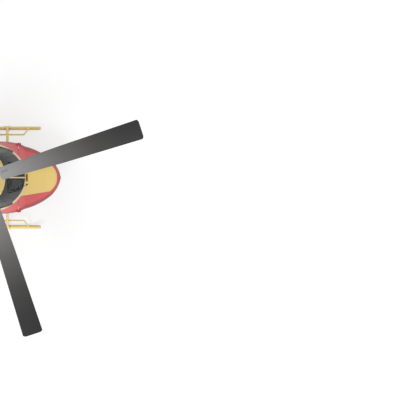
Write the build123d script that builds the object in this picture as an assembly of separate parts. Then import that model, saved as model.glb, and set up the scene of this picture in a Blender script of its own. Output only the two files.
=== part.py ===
from build123d import *
from collections import namedtuple
from math import cos, sin, radians, hypot
import os

os.makedirs("parts", exist_ok=True)

# Millimetres. Stations run from the rotor mast: +X to the nose, +Y to port, +Z up, ground at 0.
mastX = 590.0  # the mast stands this far ahead of the middle of the bounding box
seat = 0.3  # gap between curved faces that rest on each other
doorGap = 6.0
runFit = 0.05  # radial clearance of a turning shaft or pin

# Cabin shell
wall = 42.0
glassOut = 12.0  # the pane's outer face lies this far inside the skin
glassIn = 20.0
sillZ = 620.0  # underside of every door
waistZ = 1285.0  # foot of the windshield
headZ = 1720.0  # top of the side doors
boomJoinX = -2300.0
hatchX = -1250.0  # front edge of the rear clamshell doors
hatchHeadZ = 1424.0
doorFrontX = 830.0
postFrontX = -100.0
postRearX = -180.0
cabinDoorRearX = -1120.0
doorEdgeSlope = 0.36  # rear edge of the crew door runs forward as the cabin narrows

Station = namedtuple(
    "Station", "x beltHalf beltZ bottomHalf bottomZ topHalf topZ rBottom rBelt rTop")
stations = [
    Station(1815, 190, 930, 112, 842, 90, 1022, 96, 72, 150),
    Station(1740, 350, 922, 215, 762, 165, 1098, 165, 130, 300),
    Station(1640, 486, 910, 300, 700, 230, 1140, 210, 150, 380),
    Station(1350, 714, 890, 450, 585, 320, 1225, 300, 220, 560),
    Station(990, 868, 880, 570, 515, 330, 1310, 330, 260, 620),
    Station(742, 913, 880, 620, 488, 420, 1580, 330, 280, 560),
    Station(500, 920, 880, 640, 480, 500, 1800, 330, 300, 480),
    Station(250, 920, 880, 645, 480, 530, 1880, 330, 300, 420),
    Station(-350, 925, 880, 650, 480, 560, 1900, 330, 300, 420),
    Station(-1250, 868, 900, 610, 490, 520, 1885, 330, 300, 420),
    Station(-1700, 715, 1080, 450, 730, 420, 1875, 320, 260, 380),
    Station(-2050, 430, 1430, 250, 1180, 260, 1865, 210, 180, 240),
    Station(boomJoinX, 255, 1650, 128, 1440, 128, 1865, 130, 110, 130),
]
shieldFootX = 990.0
noseTipX = 1860.0
noseTipZ = 930.0
spanRows = {"tip": (0, 3), "nose": (2, 5), "shield": (4, 8), "cabin": (7, 10), "aft": (9, 13)}


def box(x0, x1, y0, y1, z0, z1):
    return Pos((x0 + x1) / 2, (y0 + y1) / 2, (z0 + z1) / 2) * Box(x1 - x0, y1 - y0, z1 - z0)


def insetCorner(before, corner, after, inset):
    """Corner of a polygon whose sides have moved inwards by the inset."""
    def normal(start, end):
        dy, dz = end[0] - start[0], end[1] - start[1]
        return -dz / hypot(dy, dz), dy / hypot(dy, dz)
    a, b = normal(before, corner), normal(corner, after)
    reach = inset / (1 + a[0] * b[0] + a[1] * b[1])
    return corner[0] + (a[0] + b[0]) * reach, corner[1] + (a[1] + b[1]) * reach


def section(row, inset=0.0):
    """Six-sided cross section with rounded corners, symmetric about the middle."""
    corners = [(-row.bottomHalf, row.bottomZ), (row.bottomHalf, row.bottomZ),
               (row.beltHalf, row.beltZ), (row.topHalf, row.topZ), (-row.topHalf, row.topZ)]
    port = [insetCorner(*corners[i:i + 3], inset) for i in range(3)]
    radii = [max(r - inset, 12.0) for r in (row.rBottom, row.rBelt, row.rTop)]
    ring = port + [(-y, z) for y, z in reversed(port)]
    noseShare = max(row.x - shieldFootX, 0) / (noseTipX - shieldFootX)
    plane = Plane(origin=(row.x - inset * noseShare, 0, 0), x_dir=(0, 1, 0), z_dir=(1, 0, 0))
    return plane * make_face(FilletPolyline(*ring, radius=radii + radii[::-1], close=True))


def hullSpan(name, inset=0.0):
    first, last = spanRows[name]
    rings = [section(row, inset) for row in stations[first:last]]
    if name == "tip":
        rings = [Vertex(noseTipX - inset, 0, noseTipZ)] + rings
    return loft(rings)


def sideCut(points, y0=-1500.0, y1=1500.0, radius=0.0):
    """Prism along Y from an outline of (x, z) points."""
    line = FilletPolyline(*points, radius=radius, close=True) if radius else Polyline(*points, close=True)
    plane = Plane(origin=(0, y0, 0), x_dir=(1, 0, 0), z_dir=(0, -1, 0))
    return extrude(plane * make_face(line), -(y1 - y0))


def planCut(points, z0, z1, radius=0.0):
    """Prism along Z from an outline of (x, y) points."""
    line = FilletPolyline(*points, radius=radius, close=True) if radius else Polyline(*points, close=True)
    return extrude(Plane(origin=(0, 0, z0)) * make_face(line), z1 - z0)


def tube(points, radius, bend):
    """Round bar along straight runs joined by tangent arcs."""
    path = FilletPolyline(*points, radius=bend)
    return sweep(Plane(origin=path @ 0, z_dir=path % 0) * Circle(radius), path=path)


def rod(start, end, radius):
    a, b = Vector(*start), Vector(*end)
    return Plane(origin=a, z_dir=b - a) * extrude(Circle(radius), (b - a).length)


def mirrored(shape):
    return mirror(shape, about=Plane.XZ)


def bothSides(shape):
    return shape + mirrored(shape)


def largest(shape):
    return max(shape.solids(), key=lambda solid: solid.volume)


def save(name, *shapes):
    placed = [Pos(mastX, 0, 0) * solid for shape in shapes for solid in shape.solids()]
    export_step(placed[0] if len(placed) == 1 else Compound(children=placed), f"parts/{name}.step")


# Skin of the cabin in spans, the room inside it, and the thin layer in it that holds the glass
outer = {name: hullSpan(name) for name in spanRows}
skin = {name: outer[name] - hullSpan(name, wall) for name in spanRows}
room = hullSpan("nose", wall + seat) + hullSpan("shield", wall + seat) \
    + hullSpan("cabin", wall + seat) + hullSpan("aft", wall + seat)
glassLayer = {name: hullSpan(name, glassOut) - hullSpan(name, glassIn)
              for name in ("nose", "shield", "cabin")}
proud = 16.0  # handles and rails stand this far out of the skin
proudLayer = {name: hullSpan(name, -proud) - outer[name] for name in ("cabin", "aft")}

# Windshield and chin panes in plan, side windows from the side
windshieldPane = [(548, 34), (955, 34), (940, 215), (820, 330), (560, 395)]
chinPane = [(1120, 180), (1480, 180), (1440, 300), (1300, 430), (1120, 470)]
crewPane = [(25, 1300), (745, 1300), (470, 1655), (80, 1655)]
cabinPane = [(-260, 1150), (-260, 1655), (-1040, 1655), (-1040, 1150)]
paneRound = 45.0

# Crew door: front edge vertical to the waist, then back along the windshield post
crewDoorOutline = [(-400, sillZ), (doorFrontX, sillZ), (doorFrontX, waistZ), (500, headZ), (-400, headZ)]
crewDoorHole = [(-400, sillZ - doorGap), (doorFrontX + doorGap, sillZ - doorGap),
                (doorFrontX + doorGap, waistZ + 3), (504, headZ + doorGap), (-400, headZ + doorGap)]


def aheadOfEdge(x):
    """Everything ahead of the sloping rear edge of the port crew door."""
    beltY = 900.0
    return planCut([(x, beltY), (1200, beltY), (1200, 0), (x + beltY * doorEdgeSlope, 0)], 300, 2000)


def skinPad(name, x0, x1, z0, z1):
    """Raised pad that follows the port skin."""
    return proudLayer[name] & box(x0, x1, 300, 1100, z0, z1)


sideSkin = skin["shield"] + skin["cabin"]
crewWindowCut = sideCut(crewPane, 0, 1000, paneRound)
crewDoorPort = (sideSkin & sideCut(crewDoorOutline, 0) & aheadOfEdge(postFrontX)) - crewWindowCut
crewDoorPort += skinPad("cabin", 15, 135, 1060, 1086)
crewGlassPort = (glassLayer["shield"] + glassLayer["cabin"]) & crewWindowCut
crewDoorVoid = bothSides(sideCut(crewDoorHole, 0) & aheadOfEdge(postFrontX - doorGap))

# Fixed skin panels
everySide = (-1000, 1000)
chinCut = bothSides(planCut(chinPane, 400, 840, 40))
noseShell = skin["tip"] + skin["nose"] \
    + (skin["shield"] & box(doorFrontX + doorGap, shieldFootX, *everySide, 400, waistZ))
noseShell -= chinCut
chinGlass = glassLayer["nose"] & chinCut

bellyTop = sillZ - doorGap
bellyShell = (skin["shield"] & box(0, doorFrontX + doorGap, *everySide, 400, bellyTop)) \
    + (skin["cabin"] & box(-1300, 300, *everySide, 400, bellyTop)) \
    + (skin["aft"] & box(-2000, -1200, *everySide, 400, bellyTop))

shieldCut = bothSides(planCut(windshieldPane, 1000, 2000, 35))
shieldFrame = (skin["shield"] & box(400, shieldFootX, *everySide, waistZ, 2000)) - crewDoorVoid - shieldCut
shieldGlass = glassLayer["shield"] & shieldCut

roofZ = headZ + doorGap
roofShell = (skin["shield"] & box(0, 400, *everySide, roofZ, 2000)) \
    + (skin["cabin"] & box(hatchX, 300, *everySide, roofZ, 2000))
roofShell -= crewDoorVoid

frontPosts = (skin["cabin"] & box(postRearX, 400, *everySide, bellyTop, roofZ)) - crewDoorVoid
rearPosts = skin["cabin"] & box(hatchX, cabinDoorRearX, *everySide, bellyTop, roofZ)
cabinDoors = skin["cabin"] & box(cabinDoorRearX, postRearX, *everySide, bellyTop, roofZ)
cabinCut = bothSides(sideCut(cabinPane, 0, 1000, paneRound))
cabinDoors = (cabinDoors - cabinCut) + bothSides(skinPad("cabin", -330, -205, 1060, 1086))
cabinGlass = glassLayer["cabin"] & cabinCut
doorRails = bothSides(proudLayer["aft"] & box(-1950, hatchX, 300, 1100, 1525, 1553))

aftShell = skin["aft"] & box(boomJoinX, hatchX, *everySide, hatchHeadZ + doorGap, 2000)
leafMiddle = 4.0
clamshellPort = skin["aft"] & box(boomJoinX, hatchX - doorGap, leafMiddle, 1000, sillZ, hatchHeadZ)
clamshellPort += skinPad("aft", -1890, -1860, 1170, 1290)

# Door hinges: a forked bracket on the body holds an upright pin, and an eye on the door turns on it
hingePinR = 7.0
hingeEyeR = 14.0
hingeArm = 150.0
eyeHalf = 16.0
forkThick = 8.0
crewHingeY = 841.0
leafHingeY = 854.0


def hinge(axisX, axisY, z, doorSide, bodySide):
    """Eye with its arm for the door, and pin with two forks for the body, both on port."""
    eye = Pos(axisX, axisY, z) * Cylinder(hingeEyeR, 2 * eyeHalf)
    eye += box(min(axisX, doorSide), max(axisX, doorSide), axisY - hingeArm, axisY, z - eyeHalf, z + eyeHalf)
    eye -= Pos(axisX, axisY, z) * Cylinder(hingePinR + runFit, 4 * eyeHalf)
    body = Pos(axisX, axisY, z) * Cylinder(hingePinR, 2 * (eyeHalf + seat + forkThick))
    for side in (-1, 1):
        middle = z + side * (eyeHalf + seat + forkThick / 2)
        body += Pos(axisX, axisY, middle) * Cylinder(hingeEyeR, forkThick)
        body += box(min(axisX, bodySide), max(axisX, bodySide), axisY - hingeArm, axisY,
                    middle - forkThick / 2, middle + forkThick / 2)
    return eye, body


hingeReach = 60.0
crewHingeX = doorFrontX + doorGap / 2
leafHingeX = hatchX - doorGap / 2
hingeBodies = []
for z in (760.0, 1000.0):
    eye, body = hinge(crewHingeX, crewHingeY, z, crewHingeX - hingeReach, crewHingeX + hingeReach)
    crewDoorPort += eye - outer["shield"]
    hingeBodies.append(body - outer["shield"] - outer["nose"])
for z in (780.0, 1040.0):
    eye, body = hinge(leafHingeX, leafHingeY, z, leafHingeX - hingeReach, leafHingeX + hingeReach)
    clamshellPort += eye - outer["aft"] - outer["cabin"]
    hingeBodies.append(body - outer["cabin"] - outer["aft"])

save("nose_shell", noseShell)
save("belly_shell", bellyShell)
save("windshield_frame", shieldFrame)
save("roof_shell", roofShell)
save("door_posts", frontPosts, rearPosts)
save("aft_shell", aftShell)
save("windshield", shieldGlass)
save("chin_windows", chinGlass)
save("cabin_doors", cabinDoors)
save("cabin_door_windows", cabinGlass)
save("door_rails", doorRails)
save("crew_door_left", crewDoorPort)
save("crew_door_right", mirrored(crewDoorPort))
save("crew_window_left", crewGlassPort)
save("crew_window_right", mirrored(crewGlassPort))
save("clamshell_left", clamshellPort)
save("clamshell_right", mirrored(clamshellPort))
save("hinge_brackets", *hingeBodies, *[mirrored(body) for body in hingeBodies])

# Cabin floor inside the skin
floorTop, floorThick = 606.0, 28.0
save("cabin_floor", box(-1900, 1100, *everySide, floorTop - floorThick, floorTop) & room)

# Engine cowling on the roof, hollow, with two side intakes and a hole for the mast
Cowl = namedtuple("Cowl", "x footHalf topHalf topZ")
cowlRows = [Cowl(515, 350, 250, 1850), Cowl(410, 405, 305, 2010), Cowl(220, 470, 365, 2200),
            Cowl(-400, 530, 420, 2390), Cowl(-1250, 500, 380, 2370), Cowl(-1950, 250, 160, 2090)]
cowlWall = 25.0
cowlFootZ = 1650.0
cowlSplit = 3  # row where the front and rear lofts meet
cowlNoseX, cowlNoseY = 510.0, 660.0  # half axes of the ellipse that rounds the front in plan


def cowlHull(inset):
    def ring(row):
        foot, top, z = row.footHalf - inset, row.topHalf - inset * 0.8, row.topZ - inset
        corners = [(-foot, cowlFootZ), (foot, cowlFootZ), (top, z), (-top, z)]
        crown = min(120.0, row.topHalf * 0.5)
        plane = Plane(origin=(row.x, 0, 0), x_dir=(0, 1, 0), z_dir=(1, 0, 0))
        return plane * make_face(FilletPolyline(*corners, radius=[5, 5, crown, crown], close=True))
    return loft([ring(row) for row in cowlRows[:cowlSplit + 1]]) + loft([ring(row) for row in cowlRows[cowlSplit:]])


def cowlPlan(inset):
    front = extrude(Pos(0, 0, 1600) * Ellipse(cowlNoseX - inset, cowlNoseY - inset), 1000)
    return front + box(-1950 + inset, 0, *everySide, 1600, 2600)


roofCut = hullSpan("shield", -seat) + hullSpan("cabin", -seat) + hullSpan("aft", -seat)
cowlOuter = cowlHull(0) & cowlPlan(0)
cowling = cowlOuter - (cowlHull(cowlWall) & cowlPlan(cowlWall)) - roofCut
mastHoleR = 130.0
cowling -= Pos(0, 0, 2300) * Cylinder(mastHoleR, 600)
intakeOutline = [(-60, 2020), (-60, 2190), (-340, 2210), (-340, 2040)]
intakeCut = sideCut(intakeOutline, -1000, 1000, 50)
cowling -= intakeCut

# Intake screens: slats that follow the cowling's side
slatCount, slatPitch, slatThick = 6, 28.0, 7.0
slatLayer = (cowlHull(6) - cowlHull(cowlWall - 5)) & intakeCut
slats = [slatLayer & box(-400, 0, *everySide, 2040 + i * slatPitch, 2040 + i * slatPitch + slatThick)
         for i in range(slatCount)]
save("intake_screens", *slats)

# Exhaust pipes run back and out from the engines
exhaustR, exhaustWall = 95.0, 5.0
exhaustFront = (-1250.0, 230.0, 2150.0)
exhaustBack = (-1960.0, 320.0, 2235.0)
exhausts = []
for side in (1, -1):
    front = (exhaustFront[0], side * exhaustFront[1], exhaustFront[2])
    back = (exhaustBack[0], side * exhaustBack[1], exhaustBack[2])
    beyond = Vector(*front) + (Vector(*back) - Vector(*front)) * 1.3
    cowling -= rod(front, tuple(beyond), exhaustR + seat)
    exhausts.append(rod(front, back, exhaustR) - rod(front, back, exhaustR - exhaustWall))
save("engine_cowling", largest(cowling))

# Engines and gearbox as plain masses under the cowling, on feet that reach the roof
engineR, engineY, engineZ = 165.0, 215.0, 2105.0
engines = []
for side in (1, -1):
    y = side * engineY
    feet = [box(x - 20, x + 20, y - 60, y + 60, 1850, engineZ) for x in (-500, -1100)]
    engines.append(rod((-420, y, engineZ), (-1250, y, engineZ + 45), engineR) + (feet[0] + feet[1] - roofCut))
save("engines", *engines)
save("exhaust_pipes", *[largest(pipe - engine) for pipe, engine in zip(exhausts, engines)])

mastR = 55.0
mastFootZ = 2150.0
collarR, collarTopZ = 115.0, 2400.0
gearboxTopZ = 2120.0
gearbox = box(-300, 180, -230, 230, 1850, gearboxTopZ) - roofCut
gearbox += Pos(0, 0, (gearboxTopZ - 10 + collarTopZ) / 2) * Cylinder(collarR, collarTopZ - gearboxTopZ + 10)
gearbox -= Pos(0, 0, (mastFootZ + 2600) / 2) * Cylinder(mastR + runFit, 2600 - mastFootZ)
save("main_gearbox", gearbox)

# Fixed swashplate ring on three rods that stand on the gearbox collar
swashGap = 8.0
fixedRingZ, fixedRingThick = 2560.0, 30.0
fixedRing = Pos(0, 0, fixedRingZ) * (Cylinder(180, fixedRingThick) - Cylinder(mastR + 15, fixedRingThick))
for angle in (30, 150, 270):
    x, y = 98 * cos(radians(angle)), 98 * sin(radians(angle))
    fixedRing += rod((x, y, collarTopZ), (x, y, fixedRingZ), 9)
save("swashplate_fixed", fixedRing)

# Main rotor: mast, hub plate with four arms, blade grips, turning swashplate and pitch links
rotorZ = 2950.0
rotorR = 4000.0
coneDeg = 2.5
bladeHeadings = (18.0, 108.0, 198.0, 288.0)
turningRingThick = 34.0
turningRingZ = fixedRingZ + fixedRingThick / 2 + swashGap + turningRingThick / 2
gripEndR = 620.0
gripHalf = 58.0
gripThick = 64.0
hornR, hornY = 235.0, 150.0  # where the pitch horn meets its link, along and across the blade
linkR = 10.0
linkGap = 0.8
lugThick = 18.0


def airfoil(chord, thick, plane):
    """Section with its leading edge on the plane's +X side and the pitch axis at the origin."""
    nose, tail, shoulder = 0.4 * chord, -0.6 * chord, 0.34 * chord
    top = [(tail, 3), (-0.02 * chord, thick * 0.56), (shoulder, thick * 0.3)]
    front = [(shoulder, thick * 0.3), (nose, 0), (shoulder, -thick * 0.28)]
    bottom = [(shoulder, -thick * 0.28), (-0.02 * chord, -thick * 0.44), (tail, -3)]
    edges = [ThreePointArc(*points) for points in (top, front, bottom)] + [Line((tail, -3), (tail, 3))]
    return plane * make_face(edges)


BladeRow = namedtuple("BladeRow", "reach chord thick pitch")


def bladeLoft(rows):
    """Blade along +X, leading edge to +Y, with the pitch of each row about its own axis."""
    rings = []
    for row in rows:
        turn = radians(row.pitch)
        chordway = Vector(0, cos(turn), sin(turn))
        plane = Plane(origin=(row.reach, 0, 0), x_dir=chordway, z_dir=(1, 0, 0))
        rings.append(airfoil(row.chord, row.thick, plane))
    return loft(rings, ruled=True)


tipRound = 100.0
bladeRows = [BladeRow(390.0, 310.0, 60.0, 11.0), BladeRow(1900.0, 425.0, 48.0, 8.0),
             BladeRow(rotorR, 500.0, 36.0, 4.0)]
tipOutline = [(200, -600), (200, 600), (1500, 600), (rotorR - 3, 205), (rotorR - 3, -303), (1500, -600)]
tipTrim = extrude(Plane(origin=(0, 0, -200)) * make_face(FilletPolyline(
    *tipOutline, radius=[5, 5, 5, tipRound, tipRound, 5], close=True)), 400)


def gripSolid(clearance):
    half, thick = gripHalf + clearance, gripThick / 2 + clearance
    plan = [(150, -half - 15), (150, half + 15), (420, half), (gripEndR + clearance, half * 0.55),
            (gripEndR + clearance, -half * 0.55), (420, -half)]
    return planCut(plan, -thick, thick, 12)


horn = planCut([(hornR - 22, gripHalf - 20), (hornR + 60, gripHalf - 20), (hornR + 24, hornY + 24),
                (hornR - 24, hornY + 24)], -lugThick / 2, lugThick / 2, 10)
gripBoltR = 16.0
gripBoltXs = (470, 560)
gripBolts = [Pos(x, 0, gripThick / 2 + 5) * Cylinder(gripBoltR, 22) for x in gripBoltXs]
blade = (bladeLoft(bladeRows) & tipTrim) - gripSolid(seat)
for x in gripBoltXs:
    blade -= Pos(x, 0, gripThick / 2 + 10) * Cylinder(gripBoltR + seat, 40)
hub = Pos(0, 0, (mastFootZ + seat + rotorZ + 60) / 2) * Cylinder(mastR, rotorZ + 60 - mastFootZ - seat)
hub += Pos(0, 0, rotorZ) * Cylinder(165, 84)
hub += Pos(0, 0, rotorZ + 42) * extrude(Circle(140), 48, taper=35)
blades = []
for heading in bladeHeadings:
    place = Pos(0, 0, rotorZ) * Rot(0, 0, heading) * Rot(0, -coneDeg, 0)
    blades.append(place * blade)
    hub += place * (gripSolid(0) + horn + gripBolts[0] + gripBolts[1])
save("main_rotor_hub", hub)
save("main_rotor_blades", *blades)

turningRing = Pos(0, 0, turningRingZ) * (Cylinder(190, turningRingThick) - Cylinder(mastR + seat, turningRingThick))
links = []
linkReach = hypot(hornR, hornY)
for heading in bladeHeadings:
    turn = Rot(0, 0, heading)
    lug = planCut([(100, hornY - 24), (hornR + 22, hornY - 24), (hornR + 22, hornY + 24), (100, hornY + 24)],
                  turningRingZ - lugThick / 2, turningRingZ + lugThick / 2, 10)
    turningRing += turn * lug
    hornZ = rotorZ + hornR * sin(radians(coneDeg)) - lugThick / 2
    lugTop = turningRingZ + lugThick / 2
    link = Pos(hornR, hornY, (hornZ + lugTop) / 2) * Cylinder(linkR, hornZ - lugTop - 2 * linkGap)
    for z in (lugTop + linkGap + 13, hornZ - linkGap - 13):
        link += Pos(hornR, hornY, z) * Cylinder(19, 26)
    links.append(turn * link)
save("swashplate_turning", turningRing)
save("pitch_links", *links)

# Tail boom, from the cabin's last ring to the end cone
boomEnd = Station(-4640, 150, 1700, 76, 1566, 76, 1834, 70, 78, 70)
boomWall = 14.0


def boomHull(inset):
    return loft([section(stations[-1], inset), section(boomEnd, inset)], ruled=True)


# Stabiliser across the boom's end
stabX, stabZ = -4520.0, 1850.0
stabChord, stabThick = 410.0, 56.0
stabHalf = 1003.0


def stabiliserSolid(clearance, half):
    plane = Plane(origin=(stabX, -half, stabZ), x_dir=(1, 0, 0), z_dir=(0, -1, 0))
    return extrude(airfoil(stabChord + 2 * clearance, stabThick + 2 * clearance, plane), -2 * half)


stabVoid = stabiliserSolid(seat, stabHalf + 50)
coneLength = 120.0
endCone = loft([Vertex(boomEnd.x - coneLength, 0, 1715), section(boomEnd)])
save("tail_boom", largest(boomHull(0) - boomHull(boomWall) - stabVoid))
save("boom_end_cone", largest(endCone - stabVoid))
save("stabiliser", stabiliserSolid(0, stabHalf))

# Drive shaft cover along the top of the boom
coverR = 58.0
cover = rod((-2140, 0, 1868), (-4285, 0, 1832), coverR) - boomHull(-seat) - roofCut
save("drive_shaft_cover", largest(cover))

# Endplates: swept, tapered both ways from the stabiliser
PlateRow = namedtuple("PlateRow", "z edgeX chord thick")
plateRows = [PlateRow(stabZ + 770, -4715, 240, 20), PlateRow(stabZ, -4290, 530, 34),
             PlateRow(stabZ - 660, -4505, 212, 18)]
plateY = 984.0


def surfaceLoft(rows, y):
    rings = [airfoil(row.chord, row.thick, Plane(origin=(row.edgeX - 0.4 * row.chord, y, row.z),
                                                 x_dir=(1, 0, 0), z_dir=(0, 0, 1))) for row in rows]
    return loft(rings, ruled=True)


plate = surfaceLoft(plateRows, plateY) - stabVoid
save("endplates", plate, mirrored(plate))

# Fin on the boom's end
finRows = [PlateRow(1700, -4290, 410, 76), PlateRow(2070, -4290, 410, 70), PlateRow(2830, -4750, 205, 48)]
fin = surfaceLoft(finRows, 0) - boomHull(-seat) - stabVoid - box(-5000, -4000, -100, 100, 1600, stabZ - 60)
fin = largest(fin - rod((-2140, 0, 1868), (-4285, 0, 1832), coverR + seat))

# Tail gearbox and tail rotor on the port side of the fin
tailX, tailZ = -4850.0, 2710.0
tailHubY = 300.0
tailShaftR = 18.0
tailRotorR = 830.0
tailLeanDeg = 12.0  # the upper blade leans forward at rest
tailBoxR = 62.0
tailBox = rod((tailX, -45, tailZ), (tailX, 150, tailZ), tailBoxR) + rod((tailX, 150, tailZ), (tailX, 185, tailZ), 40)
fin = largest(fin - rod((tailX, -60, tailZ), (tailX, 60, tailZ), tailBoxR + seat))
save("fin", fin)
save("tail_gearbox", tailBox - rod((tailX, 60, tailZ), (tailX, 200, tailZ), tailShaftR + runFit))

tailHub = rod((0, 61, 0), (0, tailHubY + 110, 0), tailShaftR) + rod((0, tailHubY - 38, 0), (0, tailHubY + 38, 0), 48)
tailHub += box(-24, 24, tailHubY - 14, tailHubY + 14, -270, 270)
spiderY = tailHubY + 90
tailHub += box(-12, 12, spiderY - 9, spiderY + 9, -120, 120)
tailPaddle = [BladeRow(190.0, 150.0, 26.0, 15.0), BladeRow(260.0, 220.0, 26.0, 15.0),
              BladeRow(tailRotorR, 220.0, 20.0, 11.0)]
paddle = Pos(0, tailHubY, 0) * Rot(0, -90, 0) * bladeLoft(tailPaddle)
paddle = paddle - box(-24 - seat, 24 + seat, tailHubY - 14 - seat, tailHubY + 14 + seat,
                                      -270 - seat, 270 + seat)
paddles = []
for half in (Rot(0, 0, 0), Rot(0, 180, 0)):
    place = Pos(tailX, 0, tailZ) * Rot(0, tailLeanDeg, 0) * half
    paddles += (place * paddle).solids()
    tailHub += half * rod((0, tailHubY + 10, 110), (0, spiderY, 110), 8)
save("tail_rotor_hub", Pos(tailX, 0, tailZ) * Rot(0, tailLeanDeg, 0) * tailHub)
save("tail_rotor_blades", *paddles)

# Tail skid under the boom
tailSkid = tube([(-4400, 0, 1640), (-4850, 0, 1250), (-5010, 0, 1250)], 14, 60) - boomHull(-seat)
save("tail_skid", largest(tailSkid))

# Skid landing gear
skidY, skidR = 1200.0, 42.5
skidRear, skidFront = -1750.0, 1150.0
skidToe = (1345.0, skidY, 205.0)
wheelLugX, wheelLugZ = -1450.0, 122.0  # eye behind the rear cross tube for a ground-handling wheel
wheelLugR, wheelLugHoleR, wheelLugThick = 26.0, 9.0, 14.0
lugIn, lugOut = skidY - wheelLugThick / 2, skidY + wheelLugThick / 2
skidTube = tube([(skidRear, skidY, skidR), (skidFront, skidY, skidR), skidToe], skidR, 220)
skidTube += box(wheelLugX - wheelLugR, wheelLugX + wheelLugR, lugIn, lugOut, skidR, wheelLugZ)
skidTube += rod((wheelLugX, lugIn, wheelLugZ), (wheelLugX, lugOut, wheelLugZ), wheelLugR)
skidTube -= rod((wheelLugX, lugIn - 5, wheelLugZ), (wheelLugX, lugOut + 5, wheelLugZ), wheelLugHoleR)
save("skid_tubes", skidTube, mirrored(skidTube))
crossR, crossTopZ = 32.0, 442.0
sleeveR, sleeveLong = 52.0, 150.0


def crossPath(x):
    return [(x, -skidY, skidR), (x, -1090, 330), (x, -760, crossTopZ), (x, 760, crossTopZ),
            (x, 1090, 330), (x, skidY, skidR)]


skidBore = bothSides(rod((skidRear, skidY, skidR), (skidFront, skidY, skidR), skidR + seat))
crossXs = (560.0, -1080.0)
crossTubes = []
for x in crossXs:
    bar = tube(crossPath(x), crossR, 150)
    bar += bothSides(rod((x - sleeveLong / 2, skidY, skidR), (x + sleeveLong / 2, skidY, skidR), sleeveR)
                     & box(x - 200, x + 200, 1000, 1400, 0.5, 200))
    bar -= skidBore
    for y in (-420, 420):
        bar += box(x - 45, x + 45, y - 40, y + 40, crossTopZ - 10, 520) - roofCut
    crossTubes.append(largest(bar))
save("cross_tubes", *crossTubes)

# Boarding step rail inboard of each skid, joined to the tube at both ends
stepY, stepZ, stepR = 1045.0, 235.0, 18.0
stepPath = [(1090, skidY, skidR), (1075, skidY - 10, 170), (960, stepY, stepZ), (-900, stepY, stepZ),
            (-960, skidY - 10, 170), (-970, skidY, skidR)]
step = tube(stepPath, stepR, 35) - skidBore - tube(crossPath(crossXs[0]), crossR + seat, 150)
save("step_rails", largest(step), mirrored(largest(step)))

# Seats: rigid frames, and a plain closed solid for each cushion
crewY = 380.0
SeatSize = namedtuple("SeatSize", "panRear panFront panTop padTop padFront backHeadX backTop padThick")
crewSeat = SeatSize(-60, 420, 890, 975, 425, -150, 1500, 80)
benchSeat = SeatSize(-1170, -720, 850, 940, -700, -1210, 1500, 82)
panThick, backThick = 18.0, 30.0
headrestTopZ = 1640.0
seatFrames, cushions = [], []


def leanX(size, z):
    """Rear face of the seat's back at a height."""
    return size.panRear + (size.backHeadX - size.panRear) * (z - size.panTop) / (size.backTop - size.panTop)


def backSlab(size, z0, z1, front, rear, y0, y1):
    """Slab that leans with the back, between two distances ahead of its rear face."""
    outline = [(leanX(size, z0) + rear, z0), (leanX(size, z0) + front, z0),
               (leanX(size, z1) + front, z1), (leanX(size, z1) + rear, z1)]
    return sideCut(outline, y0, y1)


def seatOf(size, middle, half):
    """Frame, seat pad and back pad."""
    frame = box(size.panRear, size.panFront, middle - half, middle + half, size.panTop - panThick, size.panTop)
    frame += backSlab(size, size.panTop - panThick, size.backTop, backThick, 0, middle - half, middle + half)
    pad = box(size.panRear + backThick + 5, size.padFront, middle - half + 5, middle + half - 5,
              size.panTop + seat, size.padTop)
    backPad = backSlab(size, size.padTop + seat, size.backTop - 20, backThick + size.padThick, backThick + seat,
                       middle - half + 10, middle + half - 10)
    return frame, pad, backPad


for y in (-crewY, crewY):
    frame, pad, backPad = seatOf(crewSeat, y, 225)
    frame += box(40, 330, y - 150, y + 150, floorTop, crewSeat.panTop - panThick)
    frame += backSlab(crewSeat, crewSeat.backTop - 10, headrestTopZ - 20, backThick, 5, y - 40, y + 40)
    seatFrames.append(frame)
    cushions += [pad, backPad, backSlab(crewSeat, crewSeat.backTop + 4, headrestTopZ, backThick + 75,
                                        backThick + seat, y - 110, y + 110)]
frame, pad, backPad = seatOf(benchSeat, 0, 560)
seatFrames.append(frame + box(-1150, benchSeat.panFront, -560, 560, floorTop, benchSeat.panTop - panThick))
cushions += [pad, backPad]
save("seat_frames", *seatFrames)
save("seat_cushions", *cushions)

# Instrument console with a pedestal between the seats
pedestalHalf = 95.0
console = sideCut([(720, floorTop), (1000, floorTop), (1020, 1100), (930, 1240), (760, 1120), (740, 800)], -420, 420)
console = (console & room) + box(300, 800, -pedestalHalf, pedestalHalf, floorTop, 860)
save("instrument_console", console)

# Flight controls: cyclic sticks, collective levers and pedals
controls = []
for y in (-crewY, crewY):
    stick = rod((590, y, floorTop), (540, y, 900), 13) + rod((540, y, 895), (500, y, 1030), 20)
    lever = box(110, 170, y + 238, y + 268, floorTop, 720) + rod((140, y + 253, 700), (430, y + 253, 850), 11) \
        + rod((400, y + 253, 834), (500, y + 253, 886), 19)
    controls += [stick, lever]
    for foot in (-90, 90):
        pedal = rod((690, y + foot, floorTop), (670, y + foot, 730), 10)
        pedal += box(655, 672, y + foot - 45, y + foot + 45, 690, 790)
        controls.append(pedal)
belowFloor = box(0, 1000, *everySide, 500, floorTop)
save("flight_controls", *[control - belowFloor for control in controls])
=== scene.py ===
import bpy
import math
from mathutils import Matrix, Vector
from mathutils.bvhtree import BVHTree


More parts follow.
